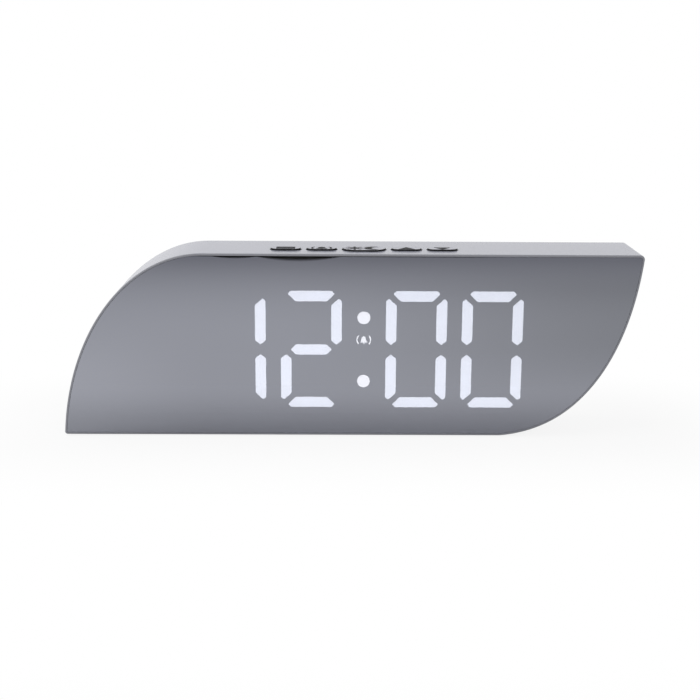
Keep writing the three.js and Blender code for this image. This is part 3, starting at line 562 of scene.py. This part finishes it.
slot_materials = {
    "mirror": half_mirror,
    "foam": foam,
    "casing_plastic": silver_paint,
    "cover_plastic": cover_abs,
    "black_film": mask_film,
    "diffuser": smoked,
    "white_plastic": white_abs,
    "circuit_board": circuit_board(),
    "key_plastic": key_paint,
    "black_plastic": black_pbt,
    "chip": chip_epoxy,
    "steel": zinc_steel,
    "contact_metal": nickel,
    "cell_wrap": cell_sleeve,
    "pad_rubber": rubber,
    "red_wire": red_pvc,
    "black_wire": black_pvc,
    "cable": grey_cable,
    "ceramic": dipped_epoxy,
}


# Loops, drawn anticlockwise


def rectangle(x0, x1, y0, y1):
    return [(x0, y0), (x1, y0), (x1, y1), (x0, y1)]


def arc(x, y, radius, start, end, steps):
    """Points round a middle from one angle to another, in degrees."""
    turns = [math.radians(start + (end - start) * i / steps) for i in range(steps + 1)]
    return [(x + radius * math.cos(turn), y + radius * math.sin(turn)) for turn in turns]


def circle(x, y, radius, sides=32):
    return arc(x, y, radius, 0, 360, sides)[:-1]


def stadium(x, y, length, breadth, steps=12):
    """A bar with round ends."""
    radius = breadth / 2
    reach = length / 2 - radius
    return (arc(x + reach, y, radius, -90, 90, steps)
            + arc(x - reach, y, radius, 90, 270, steps))


def drawn_in(points, distance):
    """A loop moved inwards along its own normals, for distances under its smallest radius. A
    sharp corner moves by twice the distance at most."""
    moved = []
    for i, (x, z) in enumerate(points):
        before = Vector((x, z)) - Vector(points[i - 1])
        after = Vector(points[(i + 1) % len(points)]) - Vector((x, z))
        sides = [Vector((-v.y, v.x)).normalized() for v in (before, after)]
        inward = (sides[0] + sides[1]).normalized()
        moved.append(Vector((x, z)) + inward * (distance / max(0.5, inward.dot(sides[0]))))
    return [(v.x, v.y) for v in moved]


def clipped(points, inward, offset):
    """The part of a convex loop on the inner side of a line."""
    kept = []
    for i, a in enumerate(points):
        b = points[(i + 1) % len(points)]
        from_a, from_b = inward.dot(a) - offset, inward.dot(b) - offset
        if from_a >= 0:
            kept.append(a)
        if (from_a >= 0) != (from_b >= 0):
            kept.append(a.lerp(b, from_a / (from_a - from_b)))
    return kept


def inset(points, distance):
    """A convex loop drawn in by the same distance all round, past its small corners too."""
    corners = [Vector(point) for point in points]
    kept = corners
    for i, a in enumerate(corners):
        along = (corners[(i + 1) % len(corners)] - a).normalized()
        inward = Vector((-along.y, along.x))
        kept = clipped(kept, inward, inward.dot(a) + distance)
    return [(v.x, v.y) for i, v in enumerate(kept) if (v - kept[i - 1]).length > SHORTEST_SIDE]


def softened(loop, reach, short_share=0.45):
    """A loop with each corner rounded off over this reach along both of its sides, and over
    this share of a short side at most."""
    soft = []
    for i, point in enumerate(loop):
        corner, before, after = (Vector(loop[(i + d) % len(loop)]) for d in (0, -1, 1))
        start, end = (
            corner + (v - corner).normalized() * min(reach, (v - corner).length * short_share)
            for v in (before, after))
        for share in (0, 0.25, 0.5, 0.75, 1):
            soft.append(tuple(start.lerp(corner, share).lerp(corner.lerp(end, share), share)))
    return soft


def outline():
    """The casing's outline in X and Z, as seen from the front."""
    turns = [math.radians(90 * i / CURVE_STEPS) for i in range(CURVE_STEPS + 1)]
    corner_z = height - UPPER_RIGHT_RADIUS
    rising = [corner_z * (1 - math.cos(turn)) for turn in turns]
    falling = [LOWER_LEFT_RADIUS + (height - LOWER_LEFT_RADIUS) * math.cos(turn)
               for turn in turns]
    points = [(right_edge(z), z) for z in rising]
    points += arc(right_edge(corner_z) - UPPER_RIGHT_RADIUS, corner_z, UPPER_RIGHT_RADIUS,
                  0, 90, CORNER_STEPS)[1:]
    points += [(left_edge(z), z) for z in falling]
    points += arc(left_edge(LOWER_LEFT_RADIUS) + LOWER_LEFT_RADIUS, LOWER_LEFT_RADIUS,
                  LOWER_LEFT_RADIUS, 180, 270, CORNER_STEPS)[1:]
    return [(x + tip_x, z + base_z) for x, z in points]


# Solids and pieces


def across(points, y):
    """Points drawn in X and Z, set at this Y."""
    return [(x, y, z) for x, z in points]


def level(points, z):
    """Points drawn in X and Y, set at this Z."""
    return [(x, y, z) for x, y in points]


def loft(loops):
    """A closed solid through loops with the same number of points, capped at both ends."""
    solid = bmesh.new()
    rings = [[solid.verts.new(point) for point in loop] for loop in loops]
    for first, second in zip(rings, rings[1:]):
        for i in range(len(first)):
            j = (i + 1) % len(first)
            solid.faces.new((first[i], first[j], second[j], second[i]))
    solid.faces.new(rings[0][::-1])
    solid.faces.new(rings[-1])
    bmesh.ops.recalc_face_normals(solid, faces=solid.faces)
    return solid


def prism(points, y0, y1):
    return loft([across(points, y0), across(points, y1)])


def column(points, z0, z1):
    return loft([level(points, z0), level(points, z1)])


def turned(profile, start, way, sides=40):
    """A solid turned about the X axis through start, from (along, radius) pairs."""
    loops = []
    for along, radius in profile:
        x = start[0] + way * along
        loops.append([(x, y, z) for y, z in circle(start[1], start[2], radius, sides)])
    return loft(loops)


def join_solids(solids):
    """Several closed solids as one mesh."""
    whole = bmesh.new()
    for solid in solids:
        mesh = bpy.data.meshes.new("part")
        solid.to_mesh(mesh)
        solid.free()
        whole.from_mesh(mesh)
        bpy.data.meshes.remove(mesh)
    return whole


def copy_of(node):
    """The CAD node's solid in millimetres, with its flat faces made whole again."""
    solid = bmesh.new()
    solid.from_mesh(frame["nodes"][node].data)
    bmesh.ops.scale(solid, vec=Vector((1, 1, 1)) / MM, verts=solid.verts)
    bmesh.ops.remove_doubles(solid, verts=solid.verts, dist=HAIR / 2)
    bmesh.ops.dissolve_limit(solid, angle_limit=math.radians(FLAT_ANGLE), verts=solid.verts,
                             edges=solid.edges)
    return solid


def object_of(name, solid):
    mesh = bpy.data.meshes.new(name)
    solid.to_mesh(mesh)
    solid.free()
    made = bpy.data.objects.new(name, mesh)
    bpy.context.scene.collection.objects.link(made)
    return made


def settle(made, cutters=(), bevel=0.0):
    """Cuts and bevels an object that is still in millimetres, then turns it to metres."""
    tools = [object_of("cutter", cutter) for cutter in cutters]
    for tool in tools:
        cut = made.modifiers.new("cut", "BOOLEAN")
        cut.operation = "DIFFERENCE"
        cut.solver = "EXACT"
        cut.object = tool
    if bevel:
        edges = made.modifiers.new("edges", "BEVEL")
        edges.limit_method = "ANGLE"
        edges.angle_limit = math.radians(BEVEL_ANGLE)
        edges.width = bevel
        edges.segments = 2
    bpy.context.view_layer.update()
    settled = made.evaluated_get(bpy.context.evaluated_depsgraph_get())
    mesh = bpy.data.meshes.new_from_object(settled)
    made.modifiers.clear()
    made.data = mesh
    for tool in tools:
        bpy.data.objects.remove(tool)
    mesh.shade_smooth()
    mesh.set_sharp_from_angle(angle=math.radians(SHARP_ANGLE))
    mesh.transform(Matrix.Scale(MM, 4))


def place(name, solid, body, slot, materials, stands_for=(), **finishing):
    """A finished piece on a body. The first material covers it until faces are chosen."""
    made = object_of(name, solid)
    settle(made, **finishing)
    made.data.materials.clear()
    for material in materials:
        made.data.materials.append(material)
    for face in made.data.polygons:
        face.material_index = 0
    weigh = made.modifiers.new("weighted_normals", "WEIGHTED_NORMAL")
    weigh.keep_sharp = True
    if stands_for:
        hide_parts(*stands_for)
    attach(made, body)
    return made


def paint(made, index, test):
    """Gives a material to every face whose middle, in millimetres, and normal pass a test."""
    for face in made.data.polygons:
        if test(face.center / MM, face.normal):
            face.material_index = index


# Mirror panel


def dipped(edge):
    """The same loop with its level top edge, which runs from right to left, in short steps
    that follow the gap and the dips."""
    top = max(z for x, z in edge)
    on_top = [i for i, (x, z) in enumerate(edge) if z > top - HAIR]
    right, left = on_top[0], on_top[-1]
    right_x, left_x = edge[right][0], edge[left][0]
    steps = [(right_x + (left_x - right_x) * i / TOP_STEPS, top) for i in range(1, TOP_STEPS)]
    whole = edge[:right + 1] + steps + edge[left:]
    return [(x, min(z, rim_under - gap_at(x) - dip_at(x - tip_x))) for x, z in whole]


def mirror_panel():
    """The sheet nearly touches its rim, except along the left of its top edge."""
    edge = dipped(inset(outline(), MIRROR_RIM + SIDE_GAP))
    low, high = span("mirror_panel")
    front, back = low.y, high.y
    solid = loft([
        across(drawn_in(edge, PANEL_CHAMFER), front),
        across(edge, front + PANEL_CHAMFER),
        across(edge, back),
    ])
    made = place("half_mirror_panel", solid, "clock_body", "mirror",
                 [acrylic_edge, half_mirror, acrylic_back], ["mirror_panel"])
    paint(made, 1, lambda middle, normal: normal.y < -PANEL_FACING)
    paint(made, 2, lambda middle, normal: normal.y > PANEL_FACING)


mirror_panel()


# Casing


def key_outline(name, grow=0.0):
    """The key's own outline in X and Y, grown by this much all round."""
    low, high = span(f"key_{name}")
    trim = 2 * (KEY_FLANGE_REACH - grow)
    return stadium((low.x + high.x) / 2, (low.y + high.y) / 2,
                   high.x - low.x - trim, high.y - low.y - trim)


def rounded(edge, radius, face, way):
    """Loops that round the casing off from its side to a flat face at this Y. The way is 1
    where the inside of the casing lies towards +Y, and -1 where it lies towards -Y."""
    turns = [math.radians(90 * i / EDGE_STEPS) for i in range(EDGE_STEPS + 1)]
    return [across(drawn_in(edge, radius * (1 - math.cos(turn))),
                   face + way * radius * (1 - math.sin(turn))) for turn in turns]


def casing_shell():
    edge = outline()
    front, back = shell_low.y, shell_high.y
    top = shell_high.z
    loops = rounded(edge, FRONT_EDGE, front, 1)[::-1] + rounded(edge, REAR_EDGE, back, -1)
    plate_front = span("mirror_tape")[1].y
    plate_back = plate_front + FRONT_PLATE
    window_low, window_high = span("display_mask")
    window = rectangle(window_low.x - CLEARANCE, window_high.x + CLEARANCE,
                       window_low.z - CLEARANCE, window_high.z + CLEARANCE)
    cutters = [
        prism(inset(edge, MIRROR_RIM), front - CUT_PAST, plate_front),
        prism(inset(edge, WALL), plate_back, back + CUT_PAST),
        prism(inset(edge, COVER_LIP), back - COVER_THICKNESS, back + CUT_PAST),
        prism(window, plate_front - CUT_PAST, plate_back + CUT_PAST),
    ]
    cutters += [column(key_outline(name, CLEARANCE), top - WALL - CUT_PAST, top + CUT_PAST)
                for name in KEY_NAMES]
    for i in range(FEET):
        low, high = span(f"foot_pad_{i + 1}")
        radius = (high.x - low.x) / 2 + CLEARANCE
        recess = circle((low.x + high.x) / 2, (low.y + high.y) / 2, radius)
        cutters.append(column(recess, -CUT_PAST, high.z))
    made = place("casing_shell", loft(loops), "clock_body", "casing_plastic",
                 [silver_paint, rim_paint_with_painted_shade, mask_film], ["casing"], cutters=cutters, bevel=0.12)
    # Painted shade: the rim and rounding in front take the darker copy of the silver paint
    paint(made, 1, lambda middle, normal: middle.y < front + FRONT_EDGE)
    paint(made, 2, lambda middle, normal:
          normal.y < -PLATE_FACING and abs(middle.y - plate_front) < PLATE_REACH)


casing_shell()


# Numbers, colon and bell


def flip_x(points, width):
    return [(width - x, z) for x, z in points][::-1]


def flip_z(points, tall):
    return [(x, tall - z) for x, z in points][::-1]


def segments(width, tall):
    """The seven segments of one number, from its lower left corner, by their usual letters."""
    thick, cut, start = SEGMENT_WIDTH, SEGMENT_CHAMFER, SEGMENT_END_INSET
    half, middle = thick / 2, tall / 2
    foot = middle + MIDDLE_HALF_GAP
    left, right = MIDDLE_END_INSET, width - MIDDLE_END_INSET
    top = [(start, tall - cut), (start + thick - cut, tall - thick),
           (width - start - thick + cut, tall - thick), (width - start, tall - cut),
           (width - start - cut, tall), (start + cut, tall)]
    upright = [(0, foot + half - cut / 3), (half, foot), (thick, foot + half - cut / 3),
               (thick, tall - start - thick + cut), (cut, tall - start - cut / 4),
               (0, tall - start - cut)]
    bar = [(left, middle), (left + half, middle - half), (right - half, middle - half),
           (right, middle), (right - half, middle + half), (left + half, middle + half)]
    return {
        "a": top, "d": flip_z(top, tall), "g": bar,
        "f": upright, "b": flip_x(upright, width),
        "e": flip_z(upright, tall), "c": flip_x(flip_z(upright, tall), width),
    }


def bell(x, z, size):
    """A bell with a flared mouth, and its clapper."""
    right = [(x + size * aside, z + size * up) for aside, up in BELL_PROFILE]
    left = [(x - size * aside, z + size * up) for aside, up in BELL_PROFILE[1:-1]]
    clapper = circle(x, z - size * CLAPPER_DROP, size * CLAPPER_RADIUS, sides=12)
    return (right + left[::-1])[::-1], clapper


def sound_waves(x, z, radius):
    """An arc to each side of a bell."""
    waves = []
    for side in (0, 180):
        outer, inner = (arc(x, z, r, side - WAVE_HALF_TURN, side + WAVE_HALF_TURN, steps=10)
                        for r in (radius * WAVE_OUTER_RADIUS, radius))
        waves.append(outer + inner[::-1])
    return waves


def lit_piece(name, loops, material):
    """Glowing windows that fill their openings in the black film."""
    low, high = span("display_mask")
    solids = [prism(drawn_in(loop, WINDOW_PLAY), low.y + WINDOW_SUNK, high.y - WINDOW_BACK)
              for loop in loops]
    place(name, join_solids(solids), "clock_body", "diffuser", [material])


def display():
    low, high = span("display_mask")
    left, right = low.x + WINDOW_MARGIN, high.x - WINDOW_MARGIN
    bottom, tall = low.z + WINDOW_MARGIN, high.z - low.z - 2 * WINDOW_MARGIN
    middle_x, middle_z = (left + right) / 2, bottom + tall / 2
    width = ((right - left) / 2 - NUMBER_SPACING - COLON_ROOM / 2) / 2
    starts = [left, left + width + NUMBER_SPACING, middle_x + COLON_ROOM / 2, right - width]
    windows = []
    for i, (start, number) in enumerate(zip(starts, SHOWN_TIME)):
        drawn = {letter: [(start + x, bottom + z) for x, z in softened(loop, SEGMENT_ROUNDING)]
                 for letter, loop in segments(width, tall).items()}
        windows += drawn.values()
        lit_piece(f"lit_number_{i + 1}", [drawn[letter] for letter in LIT_SEGMENTS[number]],
                  lit_window)
    dots = [circle(middle_x, middle_z + side * COLON_SPREAD / 2, COLON_RADIUS)
            for side in (-1, 1)]
    lit_piece("lit_colon", dots, lit_dot)
    bell_z = middle_z + LIT_BELL_ABOVE_MIDDLE
    ringing = [*bell(middle_x, bell_z, LIT_BELL_SIZE),
               *sound_waves(middle_x, bell_z, LIT_WAVE_RADIUS)]
    lit_piece("lit_bell", ringing, lit_dot)
    windows += dots + ringing
    sheet = rectangle(low.x - FILM_OVERLAP, high.x + FILM_OVERLAP,
                      low.z - FILM_OVERLAP, high.z + FILM_OVERLAP)
    cutters = [prism(loop, low.y - CUT_PAST, high.y + CUT_PAST) for loop in windows]
    place("number_film", prism(sheet, low.y, high.y), "clock_body", "black_film", [mask_film],
          ["display_mask"], cutters=cutters)


display()


# Keys, with plain signs drawn in X and Y as they are seen from the front


def three_bars(x, y):
    half_length, half_width = (size / 2 for size in BAR_SIZE)
    return [rectangle(x - half_length, x + half_length, y + up - half_width, y + up + half_width)
            for up in (-BAR_SPACING, 0, BAR_SPACING)]


def ringing_bell(x, y):
    return [*bell(x, y + PRINTED_BELL_RAISE, PRINTED_BELL_SIZE),
            *sound_waves(x, y, PRINTED_WAVE_RADIUS)]


def ray(x, y, turn):
    """A short bar that points away from a middle."""
    along = Vector((math.cos(turn), math.sin(turn)))
    aside = Vector((-along.y, along.x)) * RAY_HALF_WIDTH
    start, end = RAY_REACH
    return [tuple(Vector((x, y)) + along * reach + aside * side)
            for reach, side in ((start, -1), (end, -1), (end, 1), (start, 1))]


def lamp_and_moon(x, y):
    """A crescent on the right, and on the left a lamp with its rays."""
    moon = arc(x + MOON_PLACE, y, MOON_RADIUS, MOON_HALF_OPENING, 360 - MOON_HALF_OPENING,
               steps=20)
    hollow = arc(x + MOON_PLACE + HOLLOW_PLACE, y, HOLLOW_RADIUS,
                 360 - HOLLOW_HALF_TURN, HOLLOW_HALF_TURN, steps=16)[1:-1]
    lamp_x = x + LAMP_PLACE
    rays = [ray(lamp_x, y, math.radians(360 * i / RAYS)) for i in range(RAYS)]
    return [moon + hollow, circle(lamp_x, y, LAMP_RADIUS, sides=24), *rays]


def arrow_up(x, y):
    return [[(x - ARROW_HALF_WIDTH, y - ARROW_BACK), (x + ARROW_HALF_WIDTH, y - ARROW_BACK),
             (x, y + ARROW_TIP)]]


def arrow_down(x, y):
    return [[(x, y - ARROW_TIP), (x + ARROW_HALF_WIDTH, y + ARROW_BACK),
             (x - ARROW_HALF_WIDTH, y + ARROW_BACK)]]


key_signs = {"mode": three_bars, "alarm": ringing_bell, "snooze": lamp_and_moon,
             "up": arrow_up, "down": arrow_down}


def key(name):
    low, high = span(f"key_{name}")
    top = high.z
    flange_top = low.z + KEY_FLANGE_THICKNESS
    edge = key_outline(name)
    flange = key_outline(name, KEY_FLANGE_REACH)
    loops = [level(flange, low.z), level(flange, flange_top), level(edge, flange_top)]
    loops += [level(drawn_in(edge, inwards), top - down) for inwards, down in KEY_CROWN]
    body = f"{name}_key_body"
    made = place(f"{name}_key", loft(loops), body, "key_plastic",
                 [dark_key_sides, key_paint], [f"key_{name}"])
    paint(made, 1, lambda middle, normal:
          middle.z > top - PAINTED_DEPTH and normal.z > KEY_TOP_FACING)
    signs = key_signs[name]((low.x + high.x) / 2, (low.y + high.y) / 2)
    print_bottom, print_top = (top - depth for depth in PRINT_DEPTHS)
    marks = [column(loop, print_bottom, print_top) for loop in signs]
    place(f"{name}_key_print", join_solids(marks), body, "black_plastic", [pad_ink])


for key_name in KEY_NAMES:
    key(key_name)


# Rear cover, battery door and what shows on the back and underneath


def rear_cover():
    place("rear_cover_panel", copy_of("rear_cover"), "clock_body", "cover_plastic",
          [cover_abs], ["rear_cover"], bevel=0.15)


def battery_door():
    low, high = span("battery_door")
    middle, bottom, back = (low.x + high.x) / 2, low.z, high.y
    cutters = []
    for i in range(GRIP_LINES):
        line_z = bottom + GRIP_HEIGHT + GRIP_SPACING * i
        line = rectangle(middle - GRIP_LENGTH / 2, middle + GRIP_LENGTH / 2,
                         line_z, line_z + GRIP_WIDTH)
        cutters.append(prism(line, back - GRIP_DEPTH, back + CUT_PAST))
    arrow_bottom, arrow_top = (bottom + up for up in DOOR_ARROW_HEIGHTS)
    arrow = [(middle - DOOR_ARROW_HALF_WIDTH, arrow_bottom),
             (middle + DOOR_ARROW_HALF_WIDTH, arrow_bottom), (middle, arrow_top)]
    cutters.append(prism(arrow, back - DOOR_ARROW_DEPTH, back + CUT_PAST))
    place("battery_door_panel", copy_of("battery_door"), "battery_door_body",
          "cover_plastic", [cover_abs], ["battery_door"], cutters=cutters, bevel=0.12)


def small_pieces():
    """Screws, pads and the socket, with their sharp edges taken off."""
    for i in range(FEET):
        place(f"cover_screw_head_{i + 1}", copy_of(f"cover_screw_{i + 1}"), "clock_body",
              "steel", [zinc_steel], [f"cover_screw_{i + 1}"], bevel=0.1)
        place(f"rubber_foot_{i + 1}", copy_of(f"foot_pad_{i + 1}"), "clock_body",
              "pad_rubber", [rubber], [f"foot_pad_{i + 1}"], bevel=0.15)
    place("usb_socket", copy_of("power_socket"), "clock_body", "steel",
          [zinc_steel], ["power_socket"], bevel=0.08)


def cell_profile(tall, radius):
    """A cell from its flat end to its nub: distances along it, and the radius there."""
    return [
        (0.0, 3.6), (0.0, 4.2), (0.15, 4.6), (0.1, 4.75), (0.25, radius - 0.1), (0.55, radius),
        (tall - CELL_BAND, radius), (tall - 1.75, radius), (tall - 1.35, radius - 0.15),
        (tall - 1.2, 4.7), (tall - 1.35, 4.4), (tall - 1.2, 2.6), (tall - 1.0, 2.0),
        (tall - 0.2, 1.9), (tall, 1.7),
    ]


def battery_cell(number, way):
    """A cell with its nub to the right, where way is 1, or to the left, where it is -1."""
    node = f"battery_cell_{number}"
    low, high = span(node)
    radius = (high.z - low.z) / 2
    tall = high.x - low.x
    start = Vector((low.x if way == 1 else high.x, (low.y + high.y) / 2, (low.z + high.z) / 2))
    made = place(f"cell_{number}", turned(cell_profile(tall, radius), start, way),
                 "clock_body", "cell_wrap", [cell_sleeve, nickel, cell_band], [node])
    paint(made, 2, lambda middle, normal: (middle.x - start.x) * way > tall - CELL_BAND)
    paint(made, 1, lambda middle, normal:
          (middle - start).yz.length < radius - CELL_BARE_RING
          or abs(normal.x) > CELL_END_FACING)


rear_cover()
battery_door()
small_pieces()
for cell_number in range(1, CELLS + 1):
    battery_cell(cell_number, 1 if cell_number % 2 else -1)


# Inner pieces keep their CAD solids and get their finishes


def finish_cad_nodes():
    slots = {entry["node"]: entry["material_slot"] for entry in frame["record"]["subparts"]}
    for name, made in frame["nodes"].items():
        for holder in made.material_slots:
            holder.material = slot_materials[slots[name]]


finish_cad_nodes()


# Floor, background and light


def seen_directly(tree):
    """1 for the camera, for reflections and behind clear pieces, and 0 for light on things."""
    path = add_node(tree, "ShaderNodeLightPath")
    seen = path["Is Camera Ray"]
    for kind in ("Is Glossy Ray", "Is Transmission Ray"):
        seen = add_node(tree, "ShaderNodeMath", "Value", links={0: seen, 1: path[kind]},
                        operation="MAXIMUM")
    return seen


def distance_from_clock(tree, where):
    """How far a place on the floor is from the rectangle that the clock covers."""
    half = (cad_box[1] - cad_box[0]) / 2
    aside = add_node(tree, "ShaderNodeVectorMath", "Vector", links={0: where},
                     operation="ABSOLUTE")
    past = add_node(tree, "ShaderNodeVectorMath", "Vector", {1: (half.x, half.y, 1)},
                    {0: aside}, operation="SUBTRACT")
    outside = add_node(tree, "ShaderNodeVectorMath", "Vector", {1: (0, 0, 0)}, {0: past},
                       operation="MAXIMUM")
    return add_node(tree, "ShaderNodeVectorMath", "Value", links={0: outside},
                    operation="LENGTH")


def matt_white_board():
    """Matt white board under the clock. It is plain white in view, with the clock's soft shadow
    close to it, and far in front of the clock painted shade darkens it to a pale grey, as if the
    light fell off there; the mirror shows this as a darker reflection."""
    material, tree = new_material("matt_white_board")
    where = add_node(tree, "ShaderNodeTexCoord", "Object")
    ahead = add_node(tree, "ShaderNodeSeparateXYZ", "Y", links={"Vector": where})
    start, end = FLOOR_PAINTED_FALLOFF
    far = add_node(tree, "ShaderNodeMapRange", "Result",
                   {"From Min": start * MM, "From Max": end * MM}, {"Value": ahead})
    painted_falloff = add_node(tree, "ShaderNodeMath", "Value", {1: FLOOR_PAINTED_FALLOFF_POWER}, {0: far},
                    operation="POWER")
    # Painted shade: white near the clock, pale grey far in front of it
    shade = add_node(tree, "ShaderNodeMix", "Result",
                     {"A": linear("#ffffff"), "B": linear("#b6b6ba")}, {"Factor": painted_falloff},
                     data_type="RGBA")
    white = add_node(tree, "ShaderNodeEmission", "Emission", {"Strength": 1.0},
                     {"Color": shade})
    board = add_node(tree, "ShaderNodeBsdfPrincipled", "BSDF",
                     {"Base Color": linear("#e4e4e4"), "Roughness": 0.7})
    least = add_node(tree, "ShaderNodeMath", "Value", {1: LEAST_WHITE},
                     {0: add_node(tree, "ShaderNodeLightPath", "Is Camera Ray")},
                     operation="MULTIPLY")
    clear = add_node(tree, "ShaderNodeMapRange", "Result", {"From Max": SHADOW_REACH * MM},
                     {"Value": distance_from_clock(tree, where), "To Min": least},
                     interpolation_type="SMOOTHSTEP")
    share = add_node(tree, "ShaderNodeMath", "Value",
                     links={0: clear, 1: seen_directly(tree)}, operation="MULTIPLY")
    surface = add_node(tree, "ShaderNodeMixShader", "Shader",
                       links={0: share, 1: board, 2: white})
    add_node(tree, "ShaderNodeOutputMaterial", links={"Surface": surface})
    return material


def add_floor():
    solid = bmesh.new()
    bmesh.ops.create_grid(solid, x_segments=8, y_segments=8, size=FLOOR_HALF * MM)
    made = object_of("floor", solid)
    made.data.materials.append(matt_white_board())


def add_world():
    """White to the camera and in reflections, and a softer white as light."""
    world = bpy.data.worlds.new("studio")
    bpy.context.scene.world = world
    world.use_nodes = True
    tree = world.node_tree
    tree.nodes.clear()
    ambient, white = (
        add_node(tree, "ShaderNodeBackground", "Background",
                 {"Color": linear("#ffffff"), "Strength": strength})
        for strength in (AMBIENT_LIGHT, 1.0))
    surface = add_node(tree, "ShaderNodeMixShader", "Shader",
                       links={0: seen_directly(tree), 1: ambient, 2: white})
    add_node(tree, "ShaderNodeOutputWorld", links={"Surface": surface})


def add_softbox():
    """A large soft lamp over the left of the clock, aimed at the middle of its base."""
    data = bpy.data.lights.new("overhead_softbox", "AREA")
    data.shape = "RECTANGLE"
    data.size, data.size_y = (side * MM for side in SOFTBOX_SIZE)
    data.energy = SOFTBOX_POWER
    lamp = bpy.data.objects.new("overhead_softbox", data)
    bpy.context.scene.collection.objects.link(lamp)
    lamp.location = Vector(SOFTBOX_PLACE) * MM
    lamp.rotation_mode = "QUATERNION"
    lamp.rotation_quaternion = Vector(SOFTBOX_PLACE).to_track_quat("Z", "Y")


add_floor()
add_world()
add_softbox()

bpy.context.scene.view_settings.view_transform = "Standard"
